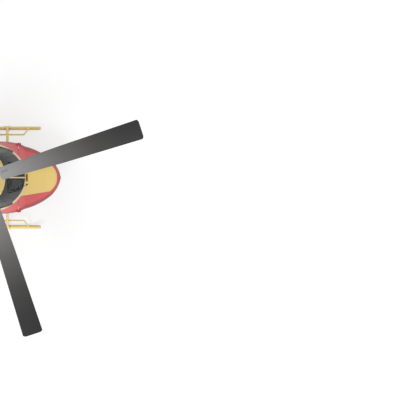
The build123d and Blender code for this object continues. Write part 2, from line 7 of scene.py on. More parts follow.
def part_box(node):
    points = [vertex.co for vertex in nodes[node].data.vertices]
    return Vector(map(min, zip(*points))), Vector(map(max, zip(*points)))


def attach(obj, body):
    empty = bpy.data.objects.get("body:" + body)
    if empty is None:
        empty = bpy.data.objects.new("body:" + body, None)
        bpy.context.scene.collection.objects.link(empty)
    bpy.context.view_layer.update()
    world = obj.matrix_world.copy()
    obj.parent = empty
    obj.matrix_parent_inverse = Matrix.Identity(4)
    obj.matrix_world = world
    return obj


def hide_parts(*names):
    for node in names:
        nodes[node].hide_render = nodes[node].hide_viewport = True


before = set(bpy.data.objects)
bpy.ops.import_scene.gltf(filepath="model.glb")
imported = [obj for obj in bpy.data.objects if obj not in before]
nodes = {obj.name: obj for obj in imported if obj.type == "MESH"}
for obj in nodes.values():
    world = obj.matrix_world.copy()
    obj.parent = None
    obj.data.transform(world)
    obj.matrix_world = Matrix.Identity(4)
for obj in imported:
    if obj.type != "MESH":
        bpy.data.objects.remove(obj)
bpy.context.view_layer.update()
print("frame loaded:", len(nodes), "CAD nodes")

mastX = 0.59  # the rotor mast, ahead of the middle of the model


def linearColour(hexText):  # sRGB hex to the linear colour that the shaders take
    parts = [int(hexText[i:i + 2], 16) / 255 for i in (1, 3, 5)]
    return [p / 12.92 if p <= 0.04045 else ((p + 0.055) / 1.055) ** 2.4 for p in parts] + [1.0]


def addNode(tree, kind, inputs=None, **settings):  # adds a node, sets its values and makes its links
    node = tree.nodes.new(kind)
    for key, value in settings.items():
        setattr(node, key, value)
    for key, value in (inputs or {}).items():
        if isinstance(value, bpy.types.NodeSocket):
            tree.links.new(value, node.inputs[key])
        else:
            node.inputs[key].default_value = value
    return node


def newMaterial(name):
    material = bpy.data.materials.new(name)
    material.use_nodes = True
    material.node_tree.nodes.clear()
    return material, material.node_tree


def paintWith(material, *names):  # puts one material on CAD nodes
    for name in names:
        mesh = nodes[name].data
        mesh.materials.clear()
        mesh.materials.append(material)


# Studio stage

stageSettings = {
    "floorHex": "#B4B4B4",
    "floorGlow": 0.62,  # lifts the floor to white for the camera only
    "skyLight": 0.72,
    "sunStrength": 0.95,
    "sunAngle": 24.0,  # a broad sun gives soft shadow edges
    "cameraHeight": 60.0,
    "pixelsPerMetre": 41.1,  # at the height of the rotor
    "centreFromMast": (5.246, -0.545),
}

bpy.ops.object.select_all(action="DESELECT")
bpy.ops.mesh.primitive_plane_add(size=400, location=(0, 0, 0))
floor = bpy.context.object
floor.name = "studioFloor"
floorMaterial, tree = newMaterial("mattePaperFloor")  # seamless paper, matte and nearly white
path = addNode(tree, "ShaderNodeLightPath")
paper = addNode(tree, "ShaderNodeBsdfDiffuse", {"Color": linearColour(stageSettings["floorHex"])})
glow = addNode(tree, "ShaderNodeEmission", {"Color": (1, 1, 1, 1), "Strength": stageSettings["floorGlow"]})
seenStrength = addNode(tree, "ShaderNodeMath", {0: path.outputs["Is Camera Ray"], 1: path.outputs["Is Glossy Ray"]},
                       operation="MAXIMUM")
seenStrength = addNode(tree, "ShaderNodeMath", {0: seenStrength.outputs[0], 1: path.outputs["Is Transmission Ray"]},
                       operation="MAXIMUM")
glowScale = addNode(tree, "ShaderNodeMath", {0: seenStrength.outputs[0], 1: stageSettings["floorGlow"]},
                    operation="MULTIPLY")
tree.links.new(glowScale.outputs[0], glow.inputs["Strength"])
both = addNode(tree, "ShaderNodeAddShader", {0: paper.outputs[0], 1: glow.outputs[0]})
addNode(tree, "ShaderNodeOutputMaterial", {"Surface": both.outputs[0]})
floor.data.materials.append(floorMaterial)

world = bpy.data.worlds.new("studioSky")
bpy.context.scene.world = world
world.use_nodes = True
world.node_tree.nodes.clear()
path = addNode(world.node_tree, "ShaderNodeLightPath")
seen = addNode(world.node_tree, "ShaderNodeMath",
               {0: path.outputs["Is Camera Ray"], 1: path.outputs["Is Transmission Ray"]}, operation="MAXIMUM")
strength = addNode(world.node_tree, "ShaderNodeMix",
                   {"Factor": seen.outputs[0], 2: stageSettings["skyLight"], 3: 1.0}, data_type="FLOAT")
sky = addNode(world.node_tree, "ShaderNodeBackground", {"Color": (1, 1, 1, 1), "Strength": strength.outputs[0]})
addNode(world.node_tree, "ShaderNodeOutputWorld", {"Surface": sky.outputs[0]})

sunData = bpy.data.lights.new("softSun", "SUN")
sunData.energy = stageSettings["sunStrength"]
sunData.angle = math.radians(stageSettings["sunAngle"])
sun = bpy.data.objects.new("softSun", sunData)
sun.rotation_euler = (math.radians(34), math.radians(-22), 0)
bpy.context.scene.collection.objects.link(sun)

cameraData = bpy.data.cameras.new("planCamera")
cameraData.type = "ORTHO"  # the plan drawing has no vanishing point
cameraData.ortho_scale = 400 / stageSettings["pixelsPerMetre"]
camera = bpy.data.objects.new("planCamera", cameraData)
camera.location = (mastX + stageSettings["centreFromMast"][0], stageSettings["centreFromMast"][1],
                   stageSettings["cameraHeight"])
bpy.context.scene.collection.objects.link(camera)
bpy.context.scene.camera = camera
bpy.context.scene.view_settings.view_transform = "Standard"
print("stage ready")

# Paints and materials for the CAD nodes

paintSettings = {
    "redHex": "#EC6668",
    "paintedShadeRedHex": "#A0282D",  # painted shade: a deeper red low on the body, drawing the shaded outline of the nose from above
    "yellowHex": "#FFDE86",
    "darkHex": "#3E413F",
    "creamHex": "#F6E3B4",
    "glassOval": (0.99, 0.823),  # half-axes in plan of the dark canopy, from the mast
    "trimWidth": 0.045,
    "canopyRear": -1.16,
    "deckOval": (0.51, 0.66),  # half-axes in plan of the rounded front of the roof deck
    "deckHalf": 0.42,
}


def bodyCoordinates(tree):  # object coordinates counted from the mast
    coordinate = addNode(tree, "ShaderNodeTexCoord")
    shifted = addNode(tree, "ShaderNodeMapping",
                      {"Vector": coordinate.outputs["Object"], "Location": (-mastX, 0, 0)})
    parts = addNode(tree, "ShaderNodeSeparateXYZ", {0: shifted.outputs[0]})
    side = addNode(tree, "ShaderNodeMath", {0: parts.outputs["Y"]}, operation="ABSOLUTE")
    return shifted.outputs[0], parts.outputs["X"], side.outputs[0], parts.outputs["Z"]


# Aircraft enamel sprayed over aluminium and composite skins: glossy, with a faint orange peel
livery, tree = newMaterial("glossAircraftEnamel")
place, alongX, sideY, upZ = bodyCoordinates(tree)
aheadX = addNode(tree, "ShaderNodeMath", {0: alongX, 1: 0.0}, operation="MAXIMUM")
ovalX = addNode(tree, "ShaderNodeMath", {0: aheadX.outputs[0], 1: paintSettings["glassOval"][0]}, operation="DIVIDE")
ovalY = addNode(tree, "ShaderNodeMath", {0: sideY, 1: paintSettings["glassOval"][1]}, operation="DIVIDE")
ovalPoint = addNode(tree, "ShaderNodeCombineXYZ", {0: ovalX.outputs[0], 1: ovalY.outputs[0]})
oval = addNode(tree, "ShaderNodeVectorMath", {0: ovalPoint.outputs[0]}, operation="LENGTH").outputs["Value"]
aboveWaist = addNode(tree, "ShaderNodeMath", {0: upZ, 1: 1.08}, operation="GREATER_THAN").outputs[0]
rearSlant = addNode(tree, "ShaderNodeMath", {0: upZ, 1: 0.18, 2: paintSettings["canopyRear"] - 0.25},
                    operation="MULTIPLY_ADD").outputs[0]
aheadOfRear = addNode(tree, "ShaderNodeMath", {0: alongX, 1: rearSlant}, operation="GREATER_THAN").outputs[0]
canopyZone = addNode(tree, "ShaderNodeMath", {0: aboveWaist, 1: aheadOfRear}, operation="MULTIPLY").outputs[0]
inOval = addNode(tree, "ShaderNodeMath", {0: oval, 1: 1.0}, operation="LESS_THAN").outputs[0]
dark = addNode(tree, "ShaderNodeMath", {0: inOval, 1: canopyZone}, operation="MULTIPLY").outputs[0]
inTrim = addNode(tree, "ShaderNodeMath", {0: oval, 1: 1.0 + paintSettings["trimWidth"] / 0.9}, operation="LESS_THAN").outputs[0]
trim = addNode(tree, "ShaderNodeMath", {0: inTrim, 1: canopyZone}, operation="MULTIPLY").outputs[0]
stripeHalf = addNode(tree, "ShaderNodeMath", {0: alongX, 1: -0.162, 2: 0.591}, operation="MULTIPLY_ADD").outputs[0]
inStripe = addNode(tree, "ShaderNodeMath", {0: sideY, 1: stripeHalf}, operation="LESS_THAN").outputs[0]
noseTop = addNode(tree, "ShaderNodeMath", {0: upZ, 1: 1.08}, operation="GREATER_THAN").outputs[0]
noseZone = addNode(tree, "ShaderNodeMath", {0: alongX, 1: 0.85}, operation="GREATER_THAN").outputs[0]
stripe = addNode(tree, "ShaderNodeMath", {0: inStripe, 1: noseTop}, operation="MULTIPLY").outputs[0]
stripe = addNode(tree, "ShaderNodeMath", {0: stripe, 1: noseZone}, operation="MULTIPLY").outputs[0]
deckWide = addNode(tree, "ShaderNodeMath", {0: sideY, 1: paintSettings["deckHalf"]}, operation="LESS_THAN").outputs[0]
deckX = addNode(tree, "ShaderNodeMath", {0: aheadX.outputs[0], 1: paintSettings["deckOval"][0]}, operation="DIVIDE")
deckY = addNode(tree, "ShaderNodeMath", {0: sideY, 1: paintSettings["deckOval"][1]}, operation="DIVIDE")
deckPoint = addNode(tree, "ShaderNodeCombineXYZ", {0: deckX.outputs[0], 1: deckY.outputs[0]})
deckReach = addNode(tree, "ShaderNodeVectorMath", {0: deckPoint.outputs[0]}, operation="LENGTH").outputs["Value"]
deckBack = addNode(tree, "ShaderNodeMath", {0: deckReach, 1: 1.0}, operation="LESS_THAN").outputs[0]
deckHigh = addNode(tree, "ShaderNodeMath", {0: upZ, 1: 1.74}, operation="GREATER_THAN").outputs[0]
onCabin = addNode(tree, "ShaderNodeMath", {0: alongX, 1: -2.30}, operation="GREATER_THAN").outputs[0]
deck = addNode(tree, "ShaderNodeMath", {0: deckWide, 1: deckBack}, operation="MULTIPLY").outputs[0]
deck = addNode(tree, "ShaderNodeMath", {0: deck, 1: deckHigh}, operation="MULTIPLY").outputs[0]
deck = addNode(tree, "ShaderNodeMath", {0: deck, 1: onCabin}, operation="MULTIPLY").outputs[0]
postThin = addNode(tree, "ShaderNodeMath", {0: sideY, 1: 0.014}, operation="LESS_THAN").outputs[0]
postLong = addNode(tree, "ShaderNodeMath", {0: alongX, 1: 0.60}, operation="GREATER_THAN").outputs[0]
post = addNode(tree, "ShaderNodeMath", {0: postThin, 1: postLong}, operation="MULTIPLY").outputs[0]
post = addNode(tree, "ShaderNodeMath", {0: post, 1: dark}, operation="MULTIPLY").outputs[0]
# Painted shade: between heights 1.07 and 0.98 the red turns to the deeper red, a shaded band that draws the outline
# from above
lower = addNode(tree, "ShaderNodeMapRange", {"Value": upZ, 1: 1.07, 2: 0.98}).outputs[0]
colour = linearColour(paintSettings["redHex"])
for mask, hexName in ((lower, "paintedShadeRedHex"), (stripe, "yellowHex"), (trim, "creamHex"), (dark, "darkHex"),
                      (deck, "yellowHex"), (post, "creamHex")):
    mixed = addNode(tree, "ShaderNodeMix", {"Factor": mask, 6: colour, 7: linearColour(paintSettings[hexName])},
                    data_type="RGBA")
    colour = mixed.outputs[2]
grime = addNode(tree, "ShaderNodeTexNoise", {"Vector": place, "Scale": 2.2, "Detail": 6.0})
grimeRange = addNode(tree, "ShaderNodeMapRange", {"Value": grime.outputs[0], 1: 0.3, 2: 0.75, 3: 0.95, 4: 1.04})
worn = addNode(tree, "ShaderNodeVectorMath", {0: colour, "Scale": grimeRange.outputs[0]}, operation="SCALE")
peel = addNode(tree, "ShaderNodeTexNoise", {"Vector": place, "Scale": 180.0, "Detail": 2.0})
peelBump = addNode(tree, "ShaderNodeBump", {"Height": peel.outputs[0], "Strength": 0.06, "Distance": 0.002})
gloss = addNode(tree, "ShaderNodeMapRange", {"Value": grime.outputs[0], 3: 0.26, 4: 0.40})
enamel = addNode(tree, "ShaderNodeBsdfPrincipled",
                 {"Base Color": worn.outputs[0], "Roughness": gloss.outputs[0], "Normal": peelBump.outputs[0],
                  "Coat Weight": 0.25, "Coat Roughness": 0.12})
addNode(tree, "ShaderNodeOutputMaterial", {"Surface": enamel.outputs[0]})
paintWith(livery, "nose_shell", "belly_shell", "windshield_frame", "roof_shell", "door_posts", "aft_shell",
          "cabin_doors", "crew_door_left", "crew_door_right", "clamshell_left", "clamshell_right", "tail_boom",
          "boom_end_cone")


def plainMaterial(name, hexText, roughness, metallic=0.0, noiseScale=30.0, variation=0.08, bump=0.1, coat=0.0):
    material, tree = newMaterial(name)
    coordinate = addNode(tree, "ShaderNodeTexCoord")
    noise = addNode(tree, "ShaderNodeTexNoise", {"Vector": coordinate.outputs["Object"], "Scale": noiseScale,
                                                 "Detail": 5.0})
    shade = addNode(tree, "ShaderNodeMapRange", {"Value": noise.outputs[0], 1: 0.3, 2: 0.7, 3: 1 - variation,
                                                 4: 1 + variation})
    base = addNode(tree, "ShaderNodeVectorMath", {0: linearColour(hexText)[:3], "Scale": shade.outputs[0]},
                   operation="SCALE")
    rough = addNode(tree, "ShaderNodeMapRange", {"Value": noise.outputs[0], 3: roughness * 0.85, 4: roughness * 1.15})
    height = addNode(tree, "ShaderNodeBump", {"Height": noise.outputs[0], "Strength": bump, "Distance": 0.001})
    surface = addNode(tree, "ShaderNodeBsdfPrincipled",
                      {"Base Color": base.outputs[0], "Roughness": rough.outputs[0], "Metallic": metallic,
                       "Normal": height.outputs[0], "Coat Weight": coat})
    addNode(tree, "ShaderNodeOutputMaterial", {"Surface": surface.outputs[0]})
    return material


yellowEnamel = plainMaterial("yellowAircraftEnamel", "#FFDE86", 0.3, variation=0.03, noiseScale=3.0, coat=0.25)
skidEnamel = plainMaterial("skidEnamel", "#FFE594", 0.35, variation=0.06, noiseScale=8.0)
# near-black red gloss: red paint darkened as painted shade of the stabiliser's shaded leading edge
darkRedPaintedShadeEnamel = plainMaterial("darkRedPaintedShadeEnamel", "#4B1A24", 0.3, variation=0.05, noiseScale=3.0, coat=0.25)
bareSteel = plainMaterial("brushedStainlessSteel", "#8C8A86", 0.35, 1.0, noiseScale=60.0)
darkSteel = plainMaterial("phosphatedSteel", "#3A3B3D", 0.45, 0.8, noiseScale=60.0)
hubGrey = plainMaterial("satinGreyEnamel", "#9C9C9B", 0.45, noiseScale=20.0, variation=0.05)  # matches the blade roots
castAlloy = plainMaterial("castAluminium", "#A9ABAD", 0.5, 1.0, noiseScale=90.0, bump=0.3)
creamComposite = plainMaterial("creamGlassFibre", "#FCF6C2", 0.4, noiseScale=12.0, variation=0.03)
seatCloth = plainMaterial("wovenSeatCloth", "#39404B", 0.85, noiseScale=400.0, bump=0.4)
panelPlastic = plainMaterial("mouldedAbs", "#262729", 0.6, noiseScale=250.0, bump=0.25)
floorRubber = plainMaterial("ribbedRubberMat", "#4A4B4D", 0.8, noiseScale=120.0, bump=0.3)
paintWith(yellowEnamel, "engine_cowling", "drive_shaft_cover")
paintWith(skidEnamel, "skid_tubes", "cross_tubes", "step_rails")
# The stabiliser gets the near-black red, which paints in the shade on its leading edge
paintWith(darkRedPaintedShadeEnamel, "stabiliser")
paintWith(livery, "hinge_brackets")
paintWith(bareSteel, "exhaust_pipes", "door_rails", "pitch_links", "swashplate_turning")
paintWith(darkSteel, "flight_controls", "intake_screens", "tail_gearbox", "tail_skid", "tail_rotor_hub")
paintWith(hubGrey, "main_rotor_hub")
paintWith(castAlloy, "engines", "main_gearbox", "swashplate_fixed")
paintWith(creamComposite, "tail_rotor_blades")
paintWith(seatCloth, "seat_cushions")
paintWith(panelPlastic, "instrument_console", "seat_frames")
paintWith(floorRubber, "cabin_floor")

# Endplates: lemon yellow above the stabiliser, orange-red below it
plateEnamel, tree = newMaterial("twoToneEndplateEnamel")
place, alongX, sideY, upZ = bodyCoordinates(tree)
below = addNode(tree, "ShaderNodeMath", {0: upZ, 1: 1.85}, operation="LESS_THAN").outputs[0]
tone = addNode(tree, "ShaderNodeMix", {"Factor": below, 6: linearColour("#F4EE86"), 7: linearColour("#F49560")},
               data_type="RGBA")
stain = addNode(tree, "ShaderNodeTexNoise", {"Vector": place, "Scale": 3.0, "Detail": 5.0})
stainRange = addNode(tree, "ShaderNodeMapRange", {"Value": stain.outputs[0], 3: 0.94, 4: 1.05})
worn = addNode(tree, "ShaderNodeVectorMath", {0: tone.outputs[2], "Scale": stainRange.outputs[0]}, operation="SCALE")
surface = addNode(tree, "ShaderNodeBsdfPrincipled", {"Base Color": worn.outputs[0], "Roughness": 0.3,
                                                     "Coat Weight": 0.25})
addNode(tree, "ShaderNodeOutputMaterial", {"Surface": surface.outputs[0]})
paintWith(plateEnamel, "endplates", "fin")

# Rotor blades: painted glass fibre, pale grey at the root and nearly black at the tip
bladePaint, tree = newMaterial("paintedBladeComposite")
place, alongX, sideY, upZ = bodyCoordinates(tree)
flat = addNode(tree, "ShaderNodeCombineXYZ", {0: alongX, 1: sideY})
reach = addNode(tree, "ShaderNodeVectorMath", {0: flat.outputs[0]}, operation="LENGTH")
reachShare = addNode(tree, "ShaderNodeMapRange", {"Value": reach.outputs["Value"], 1: 0.3, 2: 4.0})
ramp = addNode(tree, "ShaderNodeValToRGB", {0: reachShare.outputs[0]})
shades = ((0.0, "#A0A0A0"), (0.24, "#7F7D7D"), (0.46, "#5C5A59"), (0.68, "#383736"), (0.86, "#242323"), (1.0, "#1E1D1D"))
while len(ramp.color_ramp.elements) < len(shades):
    ramp.color_ramp.elements.new(0.5)
for element, (position, hexText) in zip(ramp.color_ramp.elements, shades):
    element.position = position
    element.color = linearColour(hexText)
scuff = addNode(tree, "ShaderNodeTexNoise", {"Vector": place, "Scale": 14.0, "Detail": 6.0})
scuffRange = addNode(tree, "ShaderNodeMapRange", {"Value": scuff.outputs[0], 3: 0.92, 4: 1.08})
worn = addNode(tree, "ShaderNodeVectorMath", {0: ramp.outputs[0], "Scale": scuffRange.outputs[0]}, operation="SCALE")
surface = addNode(tree, "ShaderNodeBsdfPrincipled", {"Base Color": worn.outputs[0], "Roughness": 0.5})
addNode(tree, "ShaderNodeOutputMaterial", {"Surface": surface.outputs[0]})
paintWith(bladePaint, "main_rotor_blades")

# Tinted acrylic glazing: smooth, grey-green, clear enough to see the seats
glazing, tree = newMaterial("tintedAcrylic")
coordinate = addNode(tree, "ShaderNodeTexCoord")
haze = addNode(tree, "ShaderNodeTexNoise", {"Vector": coordinate.outputs["Object"], "Scale": 6.0})
hazeRange = addNode(tree, "ShaderNodeMapRange", {"Value": haze.outputs[0], 3: 0.02, 4: 0.06})
surface = addNode(tree, "ShaderNodeBsdfPrincipled",
                  {"Base Color": linearColour("#8A918C"), "Roughness": hazeRange.outputs[0], "IOR": 1.49,
                   "Transmission Weight": 1.0})
addNode(tree, "ShaderNodeOutputMaterial", {"Surface": surface.outputs[0]})
paintWith(glazing, "windshield", "chin_windows", "cabin_door_windows", "crew_window_left", "crew_window_right")
print("CAD nodes painted")

for node in nodes.values():  # flat facets on broad curves read as steps, so the light runs smoothly over them
    node.data.shade_smooth()

# More finishes, for the small pieces
blackRubber = plainMaterial("mouldedBlackRubber", "#1E1F20", 0.7, noiseScale=220.0, bump=0.2)  # dull, faint grain
alloyTrim = plainMaterial("anodisedAluminium", "#AEB2B5", 0.36, 1.0, noiseScale=140.0)  # soft grey sheen
platedSteel = plainMaterial("zincPlatedSteel", "#8F9190", 0.32, 1.0, noiseScale=160.0)  # small bright fasteners
nylonWebbing = plainMaterial("wovenNylonWebbing", "#23262B", 0.9, noiseScale=900.0, bump=0.5)  # tight matte weave
liningPlastic = plainMaterial("grainedDoorLining", "#6E7072", 0.7, noiseScale=300.0, bump=0.3)  # leather-like grain
dialInk = plainMaterial("screenPrintedDialInk", "#E9E7DC", 0.6, noiseScale=60.0, variation=0.02)  # flat off-white print
dialBlack = plainMaterial("mattDialFace", "#0E0F10", 0.8, noiseScale=90.0)  # non-glare black card
smokedLens = plainMaterial("smokedPolycarbonate", "#15171A", 0.12, noiseScale=20.0, bump=0.02, coat=0.5)
redLens = plainMaterial("redPolycarbonateLens", "#B3141B", 0.12, noiseScale=20.0, bump=0.02, coat=0.6)
greenLens = plainMaterial("greenPolycarbonateLens", "#0B7A4B", 0.12, noiseScale=20.0, bump=0.02, coat=0.6)
clearLens = plainMaterial("clearPolycarbonateLens", "#DDE3E4", 0.08, noiseScale=20.0, bump=0.02, coat=0.6)
displayGlass = plainMaterial("displayGlass", "#101820", 0.08, noiseScale=15.0, bump=0.01, coat=0.8)  # dark and mirror smooth
yellowTrim = plainMaterial("ochreEnamel", "#E5A93F", 0.35, noiseScale=10.0, variation=0.04)  # the deeper yellow of the nose grille
creamTrim = plainMaterial("creamEnamel", "#F6E3B4", 0.35, noiseScale=10.0, variation=0.03)

# Small hand tools for the new pieces


def fromMast(x, y, z):  # a place counted from the rotor mast
    return Vector((x + mastX, y, z))


def selectNothing():
    if bpy.context.object and bpy.context.object.mode != "OBJECT":
        bpy.ops.object.mode_set(mode="OBJECT")
    bpy.ops.object.select_all(action="DESELECT")


def pick(*pieces):  # only these are selected, and the first is active
    selectNothing()
    for piece in pieces:
        piece.select_set(True)
    bpy.context.view_layer.objects.active = pieces[0]


def settle(piece):  # place, turn and scale go into the mesh
    pick(piece)
    bpy.ops.object.transform_apply(location=True, rotation=True, scale=True)
    return piece


def joined(name, pieces):
    pick(*pieces)
    if len(pieces) > 1:
        bpy.ops.object.join()
    piece = bpy.context.object
    piece.name = piece.data.name = name
    return settle(piece)


def editFaces(piece, wanted):  # goes into edit mode with the wanted faces selected
    pick(piece)
    bpy.ops.object.mode_set(mode="EDIT")
    bpy.ops.mesh.select_mode(type="FACE")
    bpy.ops.mesh.select_all(action="DESELECT")
    bpy.ops.object.mode_set(mode="OBJECT")
    for face in piece.data.polygons:
        face.select = wanted(face.center, face.normal)
    bpy.ops.object.mode_set(mode="EDIT")


def leaveEdit():
    bpy.ops.object.mode_set(mode="OBJECT")


def applied(piece, kind, **settings):  # adds a modifier and applies it
    pick(piece)
    modifier = piece.modifiers.new(kind.lower(), kind)
    for key, value in settings.items():
        setattr(modifier, key, value)
    bpy.ops.object.modifier_apply(modifier=modifier.name)
    return piece


def dressed(piece, material):
    piece.data.materials.clear()
    piece.data.materials.append(material)
    return piece


def finished(piece, body="airframe", smoothAngle=35):
    settle(piece)
    bpy.ops.object.shade_smooth_by_angle(angle=math.radians(smoothAngle))
    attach(piece, body)
    return piece


def block(size, place=(0, 0, 0), turn=(0, 0, 0), rounding=0.003, segments=2):
    selectNothing()
    bpy.ops.mesh.primitive_cube_add(size=1, location=place, rotation=turn, scale=size)
    piece = bpy.context.object
    bpy.ops.object.transform_apply(location=False, rotation=False, scale=True)
    return applied(piece, "BEVEL", width=rounding, segments=segments, limit_method="ANGLE")


def drum(radius, depth, place=(0, 0, 0), turn=(0, 0, 0), sides=24, rounding=0.002, segments=2):
    selectNothing()
    bpy.ops.mesh.primitive_cylinder_add(vertices=sides, radius=radius, depth=depth, location=place, rotation=turn)
    return applied(bpy.context.object, "BEVEL", width=rounding, segments=segments, limit_method="ANGLE")


def sunkTop(piece, inset, drop):  # insets the top face and moves it up or down
    top = max(vertex.co.z for vertex in piece.data.vertices)
    editFaces(piece, lambda centre, normal: normal.z > 0.9 and centre.z > top - 1e-5)
    bpy.ops.mesh.inset(thickness=inset)
    bpy.ops.transform.translate(value=(0, 0, drop), orient_type="LOCAL")
    leaveEdit()
    return piece


def twinAt(piece, matrix):  # a copy with its own mesh, placed by a matrix
    twin = piece.copy()
    twin.data = piece.data.copy()
    bpy.context.scene.collection.objects.link(twin)
    twin.matrix_world = matrix @ piece.matrix_world
    return twin


def placed(piece, matrices, name):  # one copy at each matrix, joined, and the pattern piece removed
    bpy.context.view_layer.update()
    twins = [twinAt(piece, matrix) for matrix in matrices]
    bpy.data.objects.remove(piece, do_unlink=True)
    return joined(name, twins)


def bar(points, width, height, rounding=0.001):  # a flat bar whose end face is drawn out from point to point
    selectNothing()
    bpy.ops.mesh.primitive_plane_add(size=1)
    piece = bpy.context.object
    run = (points[1] - points[0]).normalized()
    side = run.cross(Vector((0, 0, 1)))
    side = side.normalized() if side.length > 0.01 else Vector((0, 1, 0))
    up = side.cross(run)
    for vertex in piece.data.vertices:
        vertex.co = points[0] + side * vertex.co.x * width + up * vertex.co.y * height
    editFaces(piece, lambda centre, normal: True)
    for start, end in zip(points, points[1:]):
        bpy.ops.mesh.extrude_region_move(TRANSFORM_OT_translate={"value": end - start})
    bpy.ops.mesh.select_all(action="SELECT")
    bpy.ops.mesh.normals_make_consistent(inside=False)
    leaveEdit()
    return applied(piece, "BEVEL", width=rounding, segments=1, limit_method="ANGLE")


def roundTube(points, radius, cornerSteps=3, steps=6):  # a round bar along a smooth line
    selectNothing()
    bpy.ops.curve.primitive_nurbs_path_add()
    curve = bpy.context.object
    curve.data.splines.clear()
    spline = curve.data.splines.new("NURBS")
    spline.points.add(len(points) - 1)
    for point, place in zip(spline.points, points):
        point.co = (*place, 1)
    spline.order_u = 3
    spline.use_endpoint_u = True
    curve.data.dimensions = "3D"
    curve.data.bevel_depth = radius
    curve.data.bevel_resolution = cornerSteps
    curve.data.resolution_u = steps
    curve.data.use_fill_caps = True
    pick(curve)
    bpy.ops.object.convert(target="MESH")
    return bpy.context.object


def turned(profile, place=(0, 0, 0), turn=(0, 0, 0), sides=32):  # spins a profile of (radius, height) round Z
    selectNothing()
    bpy.ops.mesh.primitive_plane_add(size=0.001)
    piece = bpy.context.object
    bpy.ops.object.mode_set(mode="EDIT")
    bpy.ops.mesh.select_mode(type="VERT")
    bpy.ops.mesh.select_all(action="SELECT")
    bpy.ops.mesh.merge(type="CENTER")
    bpy.ops.transform.translate(value=(profile[0][0], 0, profile[0][1]))
    for (fromR, fromZ), (toR, toZ) in zip(profile, profile[1:]):
        bpy.ops.mesh.extrude_vertices_move(TRANSFORM_OT_translate={"value": (toR - fromR, 0, toZ - fromZ)})
    bpy.ops.mesh.select_all(action="SELECT")
    bpy.ops.mesh.spin(steps=sides, angle=2 * math.pi, center=(0, 0, 0), axis=(0, 0, 1))
    bpy.ops.mesh.select_all(action="SELECT")
    bpy.ops.mesh.remove_doubles(threshold=1e-5)
    bpy.ops.mesh.normals_make_consistent(inside=False)
    leaveEdit()
    piece.location = place
    piece.rotation_euler = turn
    return piece


def skinOf(*names):  # the surface of some CAD nodes, to drop rays on
    corners, faces = [], []
    for name in names:
        start = len(corners)
        corners += [vertex.co.copy() for vertex in nodes[name].data.vertices]
        faces += [[start + index for index in face.vertices] for face in nodes[name].data.polygons]
    return BVHTree.FromPolygons(corners, faces)


def landOn(skin, start, direction):  # where a ray meets the skin, and the skin's outward normal there
    direction = Vector(direction).normalized()
    place, normal, index, distance = skin.ray_cast(Vector(start), direction)
    if place is None:
        print("no skin met from", tuple(round(value, 3) for value in start))
        return None, None
    return place, (normal if normal.dot(direction) < 0 else -normal)


def standing(place, normal, forward=(1, 0, 0)):  # matrix with Z out of the skin and X as near forward as it can be
    zAxis = Vector(normal).normalized()
    yAxis = zAxis.cross(Vector(forward)).normalized()
    matrix = Matrix((yAxis.cross(zAxis), yAxis, zAxis)).transposed().to_4x4()
    matrix.translation = place
    return matrix


cabinSkin = skinOf("nose_shell", "belly_shell", "windshield_frame", "roof_shell", "door_posts", "aft_shell",
                   "cabin_doors", "crew_door_left", "crew_door_right", "clamshell_left", "clamshell_right")
glassSkin = skinOf("windshield", "windshield_frame", "nose_shell")
cowlSkin = skinOf("engine_cowling")
boomSkin = skinOf("tail_boom")

# Rubber gaskets round the panes, cut from each pane's own outer face
gasketSize = {"width": 0.016, "height": 0.005}
gasketBodies = {"windshield": "airframe", "chin_windows": "airframe", "cabin_door_windows": "airframe",
                "crew_window_left": "crew_door_left", "crew_window_right": "crew_door_right"}


def outwardGlass(nodeName, centre, normal):
    if nodeName == "windshield":
        return normal.z > 0.2
    if nodeName == "chin_windows":
        return normal.z < -0.2
    return normal.y * centre.y > 0.1


for nodeName, body in gasketBodies.items():
    gasket = bpy.data.objects.new("gasket_" + nodeName, nodes[nodeName].data.copy())
    bpy.context.scene.collection.objects.link(gasket)
    pick(gasket)
    bpy.ops.mesh.customdata_custom_splitnormals_clear()
    bpy.ops.object.mode_set(mode="EDIT")
    bpy.ops.mesh.select_all(action="SELECT")
    bpy.ops.mesh.remove_doubles(threshold=1e-5)
    leaveEdit()
    editFaces(gasket, lambda centre, normal: not outwardGlass(nodeName, centre, normal))
    bpy.ops.mesh.delete(type="FACE")
    bpy.ops.mesh.select_all(action="SELECT")
    bpy.ops.mesh.inset(thickness=gasketSize["width"], use_boundary=True, use_even_offset=True)
    bpy.ops.mesh.delete(type="FACE")
    leaveEdit()
    applied(gasket, "SOLIDIFY", thickness=gasketSize["height"], offset=1.0)
    finished(dressed(gasket, blackRubber), body)
print("window gaskets cut")

# Rivets: low round heads, 8 mm across, in rows on the skins
rivetSize = {"radius": 0.004, "height": 0.0016, "spacing": 0.05}


def rivetPattern():
    return sunkTop(drum(rivetSize["radius"], rivetSize["height"], sides=8, rounding=0.0004, segments=1), 0.0015, 0.0005)


def rowOf(skin, start, end, direction, spacing=rivetSize["spacing"]):  # matrices along a straight row, dropped on the skin
    start, end = Vector(start), Vector(end)
    count = max(2, round((end - start).length / spacing) + 1)
    found = []
    for i in range(count):
        place, normal = landOn(skin, start.lerp(end, i / (count - 1)), direction)
        if place is not None:
            found.append(standing(place, normal))
    return found


boomRivets = []
for ringX, middleZ in ((-2.36, 1.653), (-2.95, 1.664), (-3.55, 1.677), (-4.15, 1.690)):
    for i in range(22):
        angle = 2 * math.pi * i / 22
        outward = Vector((0, math.cos(angle), math.sin(angle)))
        place, normal = landOn(boomSkin, fromMast(ringX, 0, middleZ) + outward * 0.5, -outward)
        if place is not None:
            boomRivets.append(standing(place, normal))
for side in (1, -1):
    for z in (1.58, 1.74):
        boomRivets += rowOf(boomSkin, fromMast(-2.42, side * 0.5, z), fromMast(-4.2, side * 0.5, z + 0.02), (0, -side, 0))
boomRows = placed(rivetPattern(), boomRivets, "boom_rivets")
finished(dressed(boomRows, livery), "airframe")

